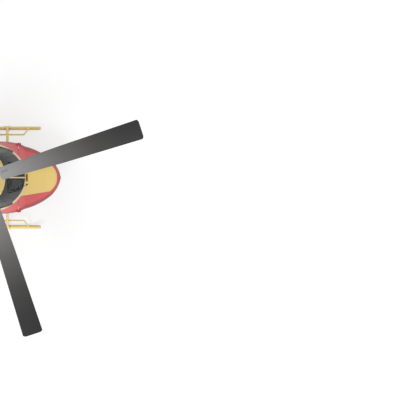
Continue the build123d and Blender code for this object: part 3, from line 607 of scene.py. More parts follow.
cabinRivets = []
for side in (1, -1):
    for x, low, high in ((-0.14, 0.66, 1.68), (-1.19, 0.66, 1.68)):  # beside the doors
        cabinRivets += rowOf(cabinSkin, fromMast(x, side * 1.4, low), fromMast(x, side * 1.4, high), (0, -side, 0))
    cabinRivets += rowOf(cabinSkin, fromMast(0.86, side * 1.4, 0.70), fromMast(0.86, side * 1.4, 1.22), (0, -side, 0))
    cabinRivets += rowOf(cabinSkin, fromMast(-1.1, side * 1.4, 0.585), fromMast(0.8, side * 1.4, 0.585), (0, -side, 0))
    cabinRivets += rowOf(cabinSkin, fromMast(-1.3, side * 1.4, 1.46), fromMast(-2.1, side * 1.4, 1.46), (0, -side, 0))
    cabinRivets += rowOf(cabinSkin, fromMast(-2.27, side * 1.0, 1.47), fromMast(-2.27, side * 1.0, 1.80), (0, -side, 0), 0.035)
cabinRows = placed(rivetPattern(), cabinRivets, "cabin_rivets")
finished(dressed(cabinRows, livery), "airframe")

cowlRivets = []
for side in (1, -1):
    cowlRivets += rowOf(cowlSkin, fromMast(-1.75, side * 1.2, 1.97), fromMast(0.38, side * 1.2, 1.97), (0, -side, 0), 0.06)
    for x in (-0.45, -1.22):
        cowlRivets += rowOf(cowlSkin, fromMast(x, side * 1.2, 2.0), fromMast(x, side * 1.2, 2.32), (0, -side, 0))
    cowlRivets += rowOf(cowlSkin, fromMast(-1.2, side * 0.30, 3), fromMast(-0.2, side * 0.30, 3), (0, 0, -1), 0.06)
cowlRows = placed(rivetPattern(), cowlRivets, "cowling_rivets")
finished(dressed(cowlRows, yellowEnamel), "airframe")
print("rivets set:", len(boomRivets) + len(cabinRivets) + len(cowlRivets))


patchLift = 0.0015  # keeps the flat faces of a patch above the skin between its corners


def skinPatch(name, skin, centre, size, direction, thick, corner=0.02, steps=(20, 12)):  # a sheet panel that follows the skin
    direction = Vector(direction)
    across = Vector((1, 0, 0))
    upward = direction.cross(across).normalized()
    selectNothing()
    bpy.ops.mesh.primitive_grid_add(x_subdivisions=steps[0], y_subdivisions=steps[1], size=1)
    piece = bpy.context.object
    piece.name = name
    bpy.ops.object.mode_set(mode="EDIT")
    bpy.ops.mesh.select_mode(type="VERT")
    bpy.ops.mesh.select_all(action="DESELECT")
    bpy.ops.object.mode_set(mode="OBJECT")
    for vertex in piece.data.vertices:
        vertex.select = abs(vertex.co.x) > 0.499 and abs(vertex.co.y) > 0.499
        vertex.co = Vector(centre) + across * vertex.co.x * size[0] + upward * vertex.co.y * size[1]
    bpy.ops.object.mode_set(mode="EDIT")
    bpy.ops.mesh.bevel(offset=corner, segments=3, affect="VERTICES")
    leaveEdit()
    for vertex in piece.data.vertices:
        place, normal = landOn(skin, vertex.co - direction * 0.6, direction)
        if place is not None:
            vertex.co = place + normal * patchLift
    editFaces(piece, lambda centre, normal: True)
    bpy.ops.mesh.normals_make_consistent(inside=False)
    leaveEdit()
    if sum((face.normal.dot(direction) for face in piece.data.polygons)) > 0:
        editFaces(piece, lambda centre, normal: True)
        bpy.ops.mesh.flip_normals()
        leaveEdit()
    return applied(piece, "SOLIDIFY", thickness=thick, offset=1.0)


# Access panels on the cowling, each held by quarter-turn studs
panelTable = {  # centre x and z, length, height
    "engineBay": (-0.84, 2.14, 0.62, 0.26),
    "oilFiller": (-1.34, 1.97, 0.16, 0.10),
}
studs = []
for side in (1, -1):
    for label, (x, z, length, height) in panelTable.items():
        panel = skinPatch(f"panel_{label}_{'left' if side > 0 else 'right'}", cowlSkin, fromMast(x, side * 0.9, z),
                          (length, height), (0, -side, 0), 0.0025)
        finished(dressed(panel, yellowEnamel), "airframe")
        for along in (-0.5, 0, 0.5):
            for up in (-0.5, 0.5):
                place, normal = landOn(cowlSkin, fromMast(x + along * (length - 0.05), side * 1.2,
                                                          z + up * (height - 0.04)), (0, -side, 0))
                if place is not None:
                    studs.append(standing(place + normal * 0.0025, normal))
stud = sunkTop(drum(0.009, 0.004, sides=16, rounding=0.0008), 0.003, -0.0012)
slotCut = block((0.011, 0.002, 0.001), (0, 0, 0.0016), rounding=0.0003, segments=1)
stud = joined("studPattern", [dressed(stud, platedSteel), dressed(slotCut, platedSteel)])
finished(placed(stud, studs, "cowling_studs"), "airframe")
print("cowling panels hung")

# Position lights on the endplates, in the dark oval fittings that the photograph shows
lightTable = {"left": (1, redLens), "right": (-1, greenLens)}
endplateSkin = skinOf("endplates", "stabiliser")
for label, (side, lens) in lightTable.items():
    place, normal = landOn(endplateSkin, fromMast(-4.49, side * 1.3, 1.85), (0, -side, 0))
    base = block((0.20, 0.062, 0.012), rounding=0.03, segments=5)
    base = sunkTop(base, 0.008, 0.006)
    lamp = turned(((0.0, 0.034), (0.010, 0.031), (0.018, 0.022), (0.020, 0.010), (0.020, 0.0)), sides=24)
    lamp.location = (0.045, 0, 0.012)
    bezel = turned(((0.020, 0.008), (0.026, 0.010), (0.028, 0.016), (0.024, 0.018), (0.020, 0.016), (0.020, 0.008)), sides=24)
    bezel.location = (0.045, 0, 0.004)
    screws = [drum(0.004, 0.003, (x, 0, 0.019), sides=12, rounding=0.0006) for x in (-0.08, -0.02)]
    light = joined("position_light_" + label, [dressed(base, panelPlastic), dressed(lamp, lens), dressed(bezel, alloyTrim)]
                   + [dressed(screw, platedSteel) for screw in screws])
    light.matrix_world = standing(place, normal)
    finished(light, "airframe")

# Beacon and its small aerial on top of the fin
finSkin = skinOf("fin")
place, normal = landOn(finSkin, fromMast(-4.78, 0, 3.2), (0, 0, -1))
beacon = turned(((0.0, 0.058), (0.012, 0.055), (0.020, 0.044), (0.023, 0.026), (0.023, 0.012), (0.028, 0.008), (0.030, 0.0)),
                sides=28)
stalk = turned(((0.0, 0.16), (0.002, 0.158), (0.0035, 0.05), (0.006, 0.02), (0.008, 0.0)), (-0.055, 0, 0), sides=16)
beacon = joined("fin_beacon", [dressed(beacon, smokedLens), dressed(stalk, panelPlastic)])
beacon.matrix_world = Matrix.Translation(place)
finished(beacon, "airframe")

# White tail light in the end of the boom
place, normal = landOn(skinOf("boom_end_cone"), fromMast(-5.2, 0, 1.70), (1, 0, 0))
tailLight = turned(((0.0, 0.020), (0.010, 0.017), (0.016, 0.008), (0.017, 0.0)), sides=24)
tailRim = turned(((0.017, 0.0), (0.024, 0.001), (0.024, 0.006), (0.017, 0.007), (0.017, 0.0)), sides=24)
tailLight = joined("tail_light", [dressed(tailLight, clearLens), dressed(tailRim, alloyTrim)])
tailLight.matrix_world = standing(place + Vector((0.001, 0, 0)), (-1, 0, 0), (0, 0, 1))
finished(tailLight, "airframe")

# Landing light between the chin windows
lampSize = {"radius": 0.085, "x": 1.30}
place, normal = landOn(cabinSkin, fromMast(lampSize["x"], 0, 0), (0, 0, 1))
bowl = turned(((0.0, 0.010), (0.030, 0.014), (0.060, 0.010), (0.078, 0.002), (0.080, 0.004), (0.090, 0.008), (0.096, 0.004),
               (0.098, 0.0)), sides=48)
ribs = [block((0.002, 0.13, 0.003), (offset, 0, 0.014), rounding=0.0008, segments=1) for offset in (-0.036, -0.012, 0.012, 0.036)]
landingLight = joined("landing_light", [dressed(bowl, clearLens)] + [dressed(rib, platedSteel) for rib in ribs])
landingLight.matrix_world = standing(place, normal)
finished(landingLight, "airframe")
print("lights fitted")

# Pitot tubes low on the nose, each on a swept mast
pitotSize = {"x": 1.62, "y": 0.20, "z": 0.78, "reach": 0.17, "stand": 0.07}
pitots = []
for side in (1, -1):
    place, normal = landOn(cabinSkin, fromMast(pitotSize["x"], side * pitotSize["y"], 0.3), (0, 0, 1))
    foot = place + Vector((0.02, 0, -pitotSize["stand"]))
    mast = bar([place + Vector((-0.02, 0, 0.012)), place + Vector((-0.005, 0, -0.04)), foot], 0.014, 0.034, 0.004)
    tubeRound = turned(((0.0, 0.0), (0.004, 0.0), (0.0085, 0.006), (0.0095, 0.02), (0.0095, 0.13), (0.007, 0.16), (0.0045, 0.168),
                        (0.003, 0.168), (0.003, 0.150), (0.0, 0.150)), foot + Vector((-0.045, 0, 0)), (0, math.radians(90), 0), sides=20)
    pad = drum(0.030, 0.004, place + normal * 0.002, sides=24, rounding=0.0012)
    pad.rotation_euler = normal.to_track_quat("Z", "Y").to_euler()
    pitots += [dressed(settle(mast), livery), dressed(settle(tubeRound), platedSteel), dressed(settle(pad), livery)]
finished(joined("pitot_tubes", pitots), "airframe")

# Blade aerials under the belly and on the boom
aerialTable = (  # x, y, skin, ray start z, ray direction, height
    (-0.55, 0.0, cabinSkin, 0.2, 1, 0.17),
    (-2.75, 0.0, boomSkin, 1.2, 1, 0.15),
    (-3.85, 0.0, boomSkin, 1.2, 1, 0.12),
)
aerials = []
for x, y, skin, startZ, up, height in aerialTable:
    place, normal = landOn(skin, fromMast(x, y, startZ), (0, 0, up))
    fin = block((0.10, 0.012, 0.02), rounding=0.004)
    top = 0.01
    editFaces(fin, lambda centre, normal: normal.z > 0.9)
    bpy.ops.mesh.extrude_region_move(TRANSFORM_OT_translate={"value": (-0.05, 0, height)})
    bpy.ops.transform.resize(value=(0.45, 0.4, 1))
    leaveEdit()
    shoe = block((0.15, 0.05, 0.006), rounding=0.003)
    screws = [drum(0.004, 0.004, (sx, sy, 0.004), sides=10, rounding=0.0006) for sx in (-0.06, 0.06) for sy in (-0.015, 0.015)]
    aerial = joined("aerial", [dressed(fin, creamComposite), dressed(shoe, panelPlastic)]
                    + [dressed(screw, platedSteel) for screw in screws])
    aerial.matrix_world = standing(place, normal)
    aerials.append(settle(aerial))
finished(joined("blade_aerials", aerials), "airframe")
print("probes and aerials fitted")

# Fresh-air grille on the nose, two thin slots in a deeper yellow, as in the photograph
grilleSize = {"x": 1.03, "length": 0.19, "width": 0.060}
place, normal = landOn(cabinSkin, fromMast(grilleSize["x"], 0, 2.0), (0, 0, -1))
frameBox = block((grilleSize["width"], grilleSize["length"], 0.010), rounding=0.004)
frameBox = sunkTop(frameBox, 0.007, -0.005)
slats = [block((0.004, grilleSize["length"] - 0.018, 0.008), (offset, 0, 0.002), (0, math.radians(35), 0), 0.001)
         for offset in (-0.014, 0.0, 0.014)]
grille = joined("nose_air_grille", [dressed(frameBox, yellowTrim)] + [dressed(slat, panelPlastic) for slat in slats])
grille.matrix_world = standing(place + normal * 0.002, normal)
finished(grille, "airframe")

# Windshield wipers: a spindle, an arm and a rubber blade on each pane
wiperTable = {"left": 1, "right": -1}
for label, side in wiperTable.items():
    foot, footNormal = landOn(cabinSkin, fromMast(1.035, side * 0.17, 2.2), (0, 0, -1))
    tip, tipNormal = landOn(glassSkin, fromMast(0.80, side * 0.285, 2.4), (0, 0, -1))
    spindle = turned(((0.0, 0.028), (0.010, 0.027), (0.012, 0.022), (0.012, 0.010), (0.018, 0.006), (0.020, 0.0)), sides=20)
    spindle.matrix_world = standing(foot, footNormal)
    armPoints = [foot + footNormal * 0.022, foot.lerp(tip, 0.35) + footNormal * 0.040, foot.lerp(tip, 0.7) + tipNormal * 0.034,
                 tip + tipNormal * 0.024]
    arm = bar(armPoints, 0.012, 0.006)
    bladePoints = []
    for share in range(7):
        along = fromMast(0.925 - 0.27 * share / 6, side * (0.262 + 0.050 * share / 6), 2.4)
        place, normal = landOn(glassSkin, along, (0, 0, -1))
        bladePoints.append(place + normal * 0.012)
    rubber = bar(bladePoints, 0.006, 0.012, 0.0008)
    spine = bar([point + tipNormal * 0.009 for point in bladePoints], 0.009, 0.004, 0.0008)
    finished(joined("wiper_" + label, [dressed(settle(spindle), panelPlastic), dressed(arm, panelPlastic),
                                       dressed(rubber, blackRubber), dressed(spine, panelPlastic)]), "airframe")

# Door handles: a lever, its boss and a key lock on each raised pad
handleTable = {  # x, z, body
    "crew_left": (0.075, 1.073, 1, "crew_door_left"), "crew_right": (0.075, 1.073, -1, "crew_door_right"),
    "cabin_left": (-0.268, 1.073, 1, "airframe"), "cabin_right": (-0.268, 1.073, -1, "airframe"),
}
for label, (x, z, side, body) in handleTable.items():
    place, normal = landOn(cabinSkin, fromMast(x, side * 1.4, z), (0, -side, 0))
    lever = block((0.105, 0.020, 0.010), (0, 0, 0.017), rounding=0.004)
    editFaces(lever, lambda centre, normal: normal.x > 0.9)
    bpy.ops.mesh.extrude_region_move(TRANSFORM_OT_translate={"value": (0.014, 0, -0.008)})
    leaveEdit()
    boss = drum(0.014, 0.018, (-0.045, 0, 0.009), sides=24, rounding=0.003)
    lock = sunkTop(drum(0.008, 0.006, (0.040, -0.0, 0.003), sides=20, rounding=0.001), 0.004, -0.002)
    handle = joined("handle_" + label, [dressed(lever, alloyTrim), dressed(boss, alloyTrim), dressed(lock, platedSteel)])
    handle.matrix_world = standing(place, normal)
    finished(handle, body)
for label, side in (("left", 1), ("right", -1)):
    place, normal = landOn(cabinSkin, fromMast(-1.875, side * 1.4, 1.23), (0, -side, 0))
    pull = block((0.020, 0.10, 0.010), (0, 0, 0.020), rounding=0.004)
    posts = [drum(0.006, 0.022, (0, y, 0.009), sides=16) for y in (-0.040, 0.040)]
    pullHandle = joined("handle_clamshell_" + label, [dressed(pull, alloyTrim)] + [dressed(post, alloyTrim) for post in posts])
    pullHandle.matrix_world = standing(place, normal)
    finished(pullHandle, "clamshell_" + label)
print("doors and nose dressed")

# Seats: foam pads in woven cloth, swollen by Cloth between their sewn channels, with piping round each edge
padTable = {  # length, width and thickness of the space the pad fills, and the lines it is sewn along
    "crew_seat_pad": (0.450, 0.440, 0.0847, (-0.08, 0.08)),
    "crew_back_pad": (0.494, 0.430, 0.0785, (-0.08, 0.08)),
    "crew_headrest": (0.124, 0.220, 0.0735, ()),
    "bench_pad": (0.435, 1.110, 0.0897, (-0.185, 0.185)),
    "bench_back_pad": (0.528, 1.100, 0.0810, (-0.185, 0.185)),
}
swellLimit = 0.016
pads, restPlaces = {}, {}
for label, (length, width, thick, channels) in padTable.items():
    firm = (length - 1.3 * swellLimit, width - 1.3 * swellLimit, thick - swellLimit)
    pad = settle(block(firm, (0, 0, firm[2] / 2), rounding=0.026, segments=4))
    pad.name = pad.data.name = label
    pick(pad)
    pad.data.remesh_voxel_size = 0.008
    bpy.ops.object.voxel_remesh()
    held = pad.vertex_groups.new(name="held")
    for vertex in pad.data.vertices:
        sewn = vertex.co.z > firm[2] - 0.004 and any(abs(vertex.co.y - line) < 0.0045 for line in channels)
        if sewn or vertex.co.z < 0.003:
            held.add([vertex.index], 1.0, "ADD")
    pads[label] = pad
    restPlaces[label] = [vertex.co.copy() for vertex in pad.data.vertices]
    cloth = pad.modifiers.new("swell", "CLOTH")
    cloth.settings.quality = 4
    cloth.settings.use_pressure = True
    cloth.settings.uniform_pressure_force = 4.0
    cloth.settings.effector_weights.gravity = 0.0
    cloth.settings.vertex_group_mass = "held"
    cloth.point_cache.frame_start = 1
    cloth.point_cache.frame_end = 20
for step in range(1, 21):
    bpy.context.scene.frame_set(step)
for pad in pads.values():
    pick(pad)
    bpy.ops.object.modifier_apply(modifier="swell")
bpy.context.scene.frame_set(1)
pipings = {}
for label, (length, width, thick, channels) in padTable.items():
    pad = pads[label]
    for vertex, home in zip(pad.data.vertices, restPlaces[label]):
        move = vertex.co - home
        if move.length > swellLimit:
            vertex.co = home + move.normalized() * swellLimit
        vertex.co.z = min(max(vertex.co.z, 0.0005), thick)
        vertex.co.x = min(max(vertex.co.x, -length / 2), length / 2)
        vertex.co.y = min(max(vertex.co.y, -width / 2), width / 2)
    applied(pad, "SUBSURF", levels=1, render_levels=1)
    dressed(pad, seatCloth)
    side = BVHTree.FromPolygons([vertex.co.copy() for vertex in pad.data.vertices],
                                [tuple(face.vertices) for face in pad.data.polygons])
    seam = []
    for i in range(65):
        turn = 2 * math.pi * i / 64
        out = Vector((math.cos(turn) * length, math.sin(turn) * width, 0)) * 0.9
        place, normal = landOn(side, out + Vector((0, 0, thick * 0.66)), -out)
        seam.append(place + normal * 0.001)
    pipings[label] = dressed(roundTube(seam, 0.0035, 2, 2), blackRubber)


def slabPlace(x, y, z, lean):  # a back's front face: X up along it, Z ahead
    ahead = Vector((math.cos(lean), 0, math.sin(lean)))
    return standing(fromMast(x, y, z), ahead, (-math.sin(lean), 0, math.cos(lean)))


crewLean, benchLean = math.atan(90 / 610), math.atan(40 / 650)
backUp = {label: padTable[label][0] / 2 + 0.013 for label in ("crew_back_pad", "crew_headrest", "bench_back_pad")}
crewPlaces = {}
for label, side in (("left", 1), ("right", -1)):
    y = side * 0.38
    crewPlaces["crew_seat_pad_" + label] = ("crew_seat_pad", Matrix.Translation(fromMast(0.200, y, 0.8903)))
    crewPlaces["crew_back_pad_" + label] = ("crew_back_pad", slabPlace(-0.0423, y, 0.9753, crewLean)
                                            @ Matrix.Translation((backUp["crew_back_pad"], 0, 0)))
    crewPlaces["crew_headrest_" + label] = ("crew_headrest", slabPlace(-0.1203, y, 1.504, crewLean)
                                            @ Matrix.Translation((backUp["crew_headrest"], 0, 0)))
crewPlaces["bench_pad"] = ("bench_pad", Matrix.Translation(fromMast(-0.9175, 0, 0.8503)))
crewPlaces["bench_back_pad"] = ("bench_back_pad", slabPlace(-1.1453, 0, 0.9403, benchLean)
                                @ Matrix.Translation((backUp["bench_back_pad"], 0, 0)))
seatPieces, seatPiping = {}, []
bpy.context.view_layer.update()
for label, (pattern, matrix) in crewPlaces.items():
    cushion = twinAt(pads[pattern], matrix)
    cushion.name = cushion.data.name = "cushion_" + label
    seatPiping.append(twinAt(pipings[pattern], matrix))
    finished(cushion, "airframe", 60)
    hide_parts("seat_cushions")
    seatPieces[label] = cushion
for piece in list(pads.values()) + list(pipings.values()):
    bpy.data.objects.remove(piece, do_unlink=True)
finished(joined("cushion_piping", seatPiping), "airframe")

# Harnesses: webbing laid on the pads, with a round buckle and plated fittings
webbing, fittings = [], []
for side in (1, -1):
    middle = side * 0.38
    label = "left" if side > 0 else "right"
    backPad, seatPad = seatPieces["crew_back_pad_" + label], seatPieces["crew_seat_pad_" + label]
    padSkins = [BVHTree.FromPolygons([vertex.co.copy() for vertex in pad.data.vertices],
                                     [tuple(face.vertices) for face in pad.data.polygons]) for pad in (backPad, seatPad)]
    buckle = fromMast(0.062, middle, 1.012)
    for offset in (-0.085, 0.085):
        line = []
        for i in range(9):
            z, y = 1.452 - i * 0.045, middle + offset * (1 - 0.72 * i / 8)
            place, normal = landOn(padSkins[0], fromMast(0.4, y, z), (-1, 0, 0))
            line.append(place + normal * 0.003)
        webbing.append(dressed(bar(line + [buckle + Vector((-0.012, offset * 0.2, 0.012))], 0.044, 0.0016, 0.0004), nylonWebbing))
        line = []
        for i in range(7):
            y, x = middle + math.copysign(0.205 - 0.027 * i, offset), -0.012 + 0.009 * i
            place, normal = landOn(padSkins[1], fromMast(x + 0.02, y, 1.3), (0, 0, -1))
            line.append(place + normal * 0.003)
        webbing.append(dressed(bar(line, 0.044, 0.0016, 0.0004), nylonWebbing))
        adjuster = block((0.030, 0.052, 0.004), rounding=0.001)
        adjuster.matrix_world = standing(fromMast(-0.004, middle + math.copysign(0.16, offset), 0.986), (0, 0, 1))
        fittings.append(dressed(settle(adjuster), platedSteel))
    disc = sunkTop(drum(0.030, 0.016, sides=32, rounding=0.003), 0.006, -0.003)
    disc.matrix_world = standing(buckle, (0.8, 0, 0.6), (-0.6, 0, 0.8))
    fittings.append(dressed(settle(disc), alloyTrim))
finished(joined("harness_webbing", webbing), "airframe")
finished(joined("harness_fittings", fittings), "airframe")
print("seats padded")

# Instrument panel on the aft face of the console: X runs up it, Y to port, Z towards the crew
panelPlace = standing(fromMast(0.7500, 0, 0.9600), (-0.998, 0, 0.0624), (0, 0, 1))
facePlate = sunkTop(block((0.300, 0.800, 0.010), (0, 0, 0.005), rounding=0.004), 0.006, -0.0015)
panelParts = [dressed(facePlate, panelPlastic)]
dialTable = [  # up, across, radius
    (x, side * y, radius) for side in (1, -1)
    for x, y, radius in ((0.085, 0.355, 0.036), (0.085, 0.270, 0.036), (0.005, 0.355, 0.036), (0.005, 0.270, 0.036),
                         (-0.065, 0.340, 0.024), (-0.065, 0.280, 0.024))
] + [(0.105, -0.040, 0.022), (0.105, 0.040, 0.022)]
for number, (x, y, radius) in enumerate(dialTable):
    ring = turned(((radius * 0.84, 0.0035), (radius * 0.86, 0.007), (radius * 0.93, 0.009), (radius, 0.006),
                   (radius, -0.002), (radius * 0.84, -0.002), (radius * 0.84, 0.0035)), (x, y, 0.0085), sides=32)
    face = drum(radius * 0.85, 0.003, (x, y, 0.0085), sides=32, rounding=0.0005)
    marks = []
    for i in range(12):
        turn = 2 * math.pi * i / 12
        long = 0.18 if i % 3 == 0 else 0.11
        marks.append(block((radius * long, radius * 0.045, 0.0006), (x + math.cos(turn) * radius * (0.80 - long / 2),
                     y + math.sin(turn) * radius * (0.80 - long / 2), 0.0102), (0, 0, turn), 0.0001, 1))
    turn = 0.7 + 2.1 * number
    needle = block((radius * 0.70, radius * 0.06, 0.0008), (x + math.cos(turn) * radius * 0.28,
                   y + math.sin(turn) * radius * 0.28, 0.0112), (0, 0, turn), 0.0002, 1)
    pivot = drum(radius * 0.09, 0.002, (x, y, 0.0112), sides=16, rounding=0.0004)
    panelParts += [dressed(settle(ring), alloyTrim), dressed(face, dialBlack), dressed(joined("marks", marks), dialInk),
                   dressed(needle, dialInk), dressed(pivot, panelPlastic)]
for y in (-0.155, 0.155):
    housing = sunkTop(block((0.155, 0.125, 0.012), (0.040, y, 0.012), rounding=0.005), 0.009, -0.004)
    screen = block((0.130, 0.100, 0.002), (0.042, y, 0.0155), rounding=0.0006, segments=1)
    keys = [block((0.007, 0.013, 0.003), (-0.030, y + offset, 0.0185), rounding=0.001)
            for offset in (-0.042, -0.021, 0, 0.021, 0.042)]
    panelParts += [dressed(housing, panelPlastic), dressed(screen, displayGlass), dressed(joined("keys", keys), liningPlastic)]
    scale = [block((0.0012, width, 0.0005), (0.042 + up, y, 0.0168), rounding=0.0001, segments=1)
             for up, width in ((-0.045, 0.03), (-0.030, 0.018), (-0.015, 0.03), (0.015, 0.03), (0.030, 0.018), (0.045, 0.03))]
    horizon = block((0.0016, 0.088, 0.0005), (0.042, y, 0.0168), rounding=0.0001, segments=1)
    panelParts += [dressed(joined("scale", scale + [horizon]), dialInk)]
for i in range(8):
    lamp = block((0.011, 0.018, 0.004), (0.136, -0.0875 + i * 0.025, 0.011), rounding=0.0015)
    panelParts.append(dressed(lamp, (redLens, yellowTrim, greenLens, smokedLens)[i % 4]))
for i in range(14):
    collar = drum(0.0055, 0.004, (-0.125, -0.26 + i * 0.04, 0.011), sides=16, rounding=0.001)
    lever = turned(((0.0, 0.020), (0.0022, 0.019), (0.0026, 0.015), (0.0016, 0.0), (0.0, 0.0)), (-0.125, -0.26 + i * 0.04, 0.011),
                   (0, math.radians(18 if i % 3 else -18), 0), sides=12)
    panelParts += [dressed(collar, platedSteel), dressed(settle(lever), platedSteel)]
for x, y in ((0.14, 0.39), (0.14, -0.39), (-0.14, 0.39), (-0.14, -0.39)):
    panelParts.append(dressed(drum(0.005, 0.003, (x, y, 0.0105), sides=16, rounding=0.001), platedSteel))
panel = joined("instrument_panel", panelParts)
panel.matrix_world = panelPlace
finished(panel, "airframe")

# Glareshield over the dials: a padded hood that curls down towards the crew
hood = block((0.20, 0.80, 0.016), (0, 0, 0), rounding=0.006, segments=3)
editFaces(hood, lambda centre, normal: normal.x < -0.9)
bpy.ops.mesh.extrude_region_move(TRANSFORM_OT_translate={"value": (-0.022, 0, -0.012)})
bpy.ops.mesh.extrude_region_move(TRANSFORM_OT_translate={"value": (-0.006, 0, -0.020)})
leaveEdit()
applied(hood, "BEVEL", width=0.003, segments=2, limit_method="ANGLE")
hood.matrix_world = standing(fromMast(0.800, 0, 1.160), (-0.42, 0, 0.91))
hood.name = hood.data.name = "glareshield"
finished(dressed(hood, blackRubber), "airframe")
print("instrument panel fitted")

# Radio heads and switches on the pedestal
radioParts = []
for number, x in enumerate((0.365, 0.475, 0.585)):
    head = sunkTop(block((0.098, 0.168, 0.012), (x, 0, 0.866), rounding=0.003), 0.006, -0.0015)
    window = block((0.028, 0.085, 0.003), (x + 0.020, 0, 0.8715), rounding=0.0008)
    radioParts += [dressed(head, panelPlastic), dressed(window, displayGlass)]
    for y in (-0.062, 0.062):
        knob = turned(((0.0, 0.020), (0.006, 0.0198), (0.0075, 0.018), (0.009, 0.008), (0.013, 0.0065), (0.0135, 0.0)), (x + 0.006, y, 0.8700),
                      sides=20)
        radioParts.append(dressed(settle(knob), liningPlastic))
    for i in range(5):
        radioParts.append(dressed(block((0.009, 0.014, 0.004), (x - 0.026, -0.042 + i * 0.021, 0.8725), rounding=0.0012), liningPlastic))
radios = joined("pedestal_radios", radioParts)
radios.location.x = mastX
finished(radios, "airframe")

# Crew controls: rubber boots, moulded grips with a switch each, and ribs on the pedals
controlParts = []
for side in (1, -1):
    y = side * 0.38
    boot = [(0.062, 0.0), (0.060, 0.008)]
    for i in range(5):
        boot += [(0.050 - 0.007 * i, 0.014 + 0.014 * i), (0.054 - 0.007 * i, 0.021 + 0.014 * i)]
    boot += [(0.016, 0.092), (0.0133, 0.094)]
    controlParts.append(dressed(settle(turned(boot, fromMast(0.588, y, 0.606), (0, math.radians(-9.6), 0), 32)), blackRubber))
    grip = [(0.0, 0.0), (0.020, 0.001), (0.0235, 0.010), (0.0215, 0.030), (0.0240, 0.050), (0.0215, 0.070), (0.0245, 0.092),
            (0.0260, 0.120), (0.0250, 0.140), (0.016, 0.150), (0.0, 0.152)]
    controlParts.append(dressed(settle(turned(grip, fromMast(0.540, y, 0.893), (0, math.radians(-16.5), 0), 28)), blackRubber))
    trigger = block((0.010, 0.012, 0.030), fromMast(0.535, y, 0.985), (0, math.radians(-16.5), 0), 0.003)
    button = turned(((0.0, 0.010), (0.006, 0.009), (0.008, 0.004), (0.008, 0.0)), fromMast(0.4985, y, 1.036), (0, math.radians(-16.5), 0), 16)
    controlParts += [dressed(settle(trigger), liningPlastic), dressed(settle(button), redLens)]
    lever = y + 0.253
    head = block((0.060, 0.046, 0.040), fromMast(0.505, lever, 0.889), (0, math.radians(-27.5), 0), 0.009, 3)
    rings = [turned(((0.0195, 0), (0.0215, 0.003), (0.0195, 0.006)), fromMast(0.410 + 0.016 * i, lever, 0.8392 + 0.0083 * i),
                    (0, math.radians(62.5), 0), 24) for i in range(4)]
    controlParts += [dressed(settle(head), panelPlastic)] + [dressed(settle(ring), blackRubber) for ring in rings]
    for foot in (-0.09, 0.09):
        for z in (0.705, 0.722, 0.739, 0.756, 0.773):
            controlParts.append(dressed(block((0.004, 0.076, 0.006), fromMast(0.6535, y + foot, z), rounding=0.001, segments=1), blackRubber))
finished(joined("control_grips", controlParts), "airframe")
print("crew controls finished")

# Rotor head: bolts, a rain cap and a lead-lag damper on each blade
rotorHeight, coning = 2.950, math.radians(2.5)
bladeFrames = [Matrix.Translation(fromMast(0, 0, rotorHeight)) @ Matrix.Rotation(math.radians(heading), 4, "Z")
               @ Matrix.Rotation(-coning, 4, "Y") for heading in (18, 108, 198, 288)]


def hexBolt(radius, height, place=(0, 0, 0), turn=(0, 0, 0)):  # a hexagon head on a round washer
    washer = drum(radius * 1.35, height * 0.25, (0, 0, height * 0.125), sides=20, rounding=0.0004, segments=1)
    head = drum(radius, height * 0.75, (0, 0, height * 0.62), sides=6, rounding=0.0008, segments=1)
    bolt = dressed(joined("bolt", [washer, head]), platedSteel)
    settle(bolt)
    bolt.location = place
    bolt.rotation_euler = turn
    return settle(bolt)


settings = {"boltXs": (0.47, 0.56), "boltTop": 0.048, "damperY": -0.083, "damperXs": (0.185, 0.365)}
perBlade = []
for x in settings["boltXs"]:
    perBlade.append(hexBolt(0.0145, 0.012, (x, 0, settings["boltTop"])))
    perBlade.append(hexBolt(0.0125, 0.010, (x, 0, -0.032), (math.pi, 0, 0)))
damper = turned(((0.0, 0.0), (0.007, 0.0), (0.007, 0.030), (0.016, 0.032), (0.020, 0.036), (0.020, 0.118), (0.016, 0.124),
                 (0.008, 0.126), (0.008, 0.176), (0.0, 0.176)), (settings["damperXs"][0], settings["damperY"], 0),
                (0, math.radians(90), 0), 24)
perBlade.append(dressed(settle(damper), alloyTrim))
for x in settings["damperXs"]:
    eye = drum(0.014, 0.018, (x, settings["damperY"], 0), sides=24, rounding=0.002)
    stay = block((0.022, 0.030, 0.010), (x, settings["damperY"] + 0.016, 0), rounding=0.002)
    pin = drum(0.005, 0.030, (x, settings["damperY"], 0), sides=16, rounding=0.001)
    perBlade += [dressed(eye, darkSteel), dressed(stay, darkSteel), dressed(pin, platedSteel)]
pattern = joined("blade_fittings_pattern", [settle(piece) for piece in perBlade])
finished(placed(pattern, bladeFrames, "blade_fittings"), "main_rotor")

capProfile = ((0.0, 0.030), (0.030, 0.029), (0.060, 0.024), (0.085, 0.014), (0.098, 0.004), (0.101, 0.0), (0.101, -0.004))
rainCap = dressed(settle(turned(capProfile, fromMast(0, 0, 3.042), sides=48)), hubGrey)
headParts = [rainCap, hexBolt(0.012, 0.014, fromMast(0, 0, 3.071))]
for i in range(12):
    turn = math.radians(30 * i + 15)
    headParts.append(hexBolt(0.0075, 0.008, fromMast(0.1525 * math.cos(turn), 0.1525 * math.sin(turn), rotorHeight + 0.042)))
ringLow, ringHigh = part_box("swashplate_turning")
for i in range(12):
    turn = math.radians(30 * i)
    headParts.append(hexBolt(0.0065, 0.007, fromMast(0.166 * math.cos(turn), 0.166 * math.sin(turn), ringHigh[2])))
gaiter = []
for i in range(5):
    gaiter += [(0.078, 0.020 * i), (0.094, 0.010 + 0.020 * i)]
gaiter += [(0.078, 0.100), (0.0725, 0.104), (0.0725, 0.0), (0.078, 0.0)]
headParts.append(dressed(settle(turned(gaiter, fromMast(0, 0, ringHigh[2] + 0.002), sides=40)), blackRubber))
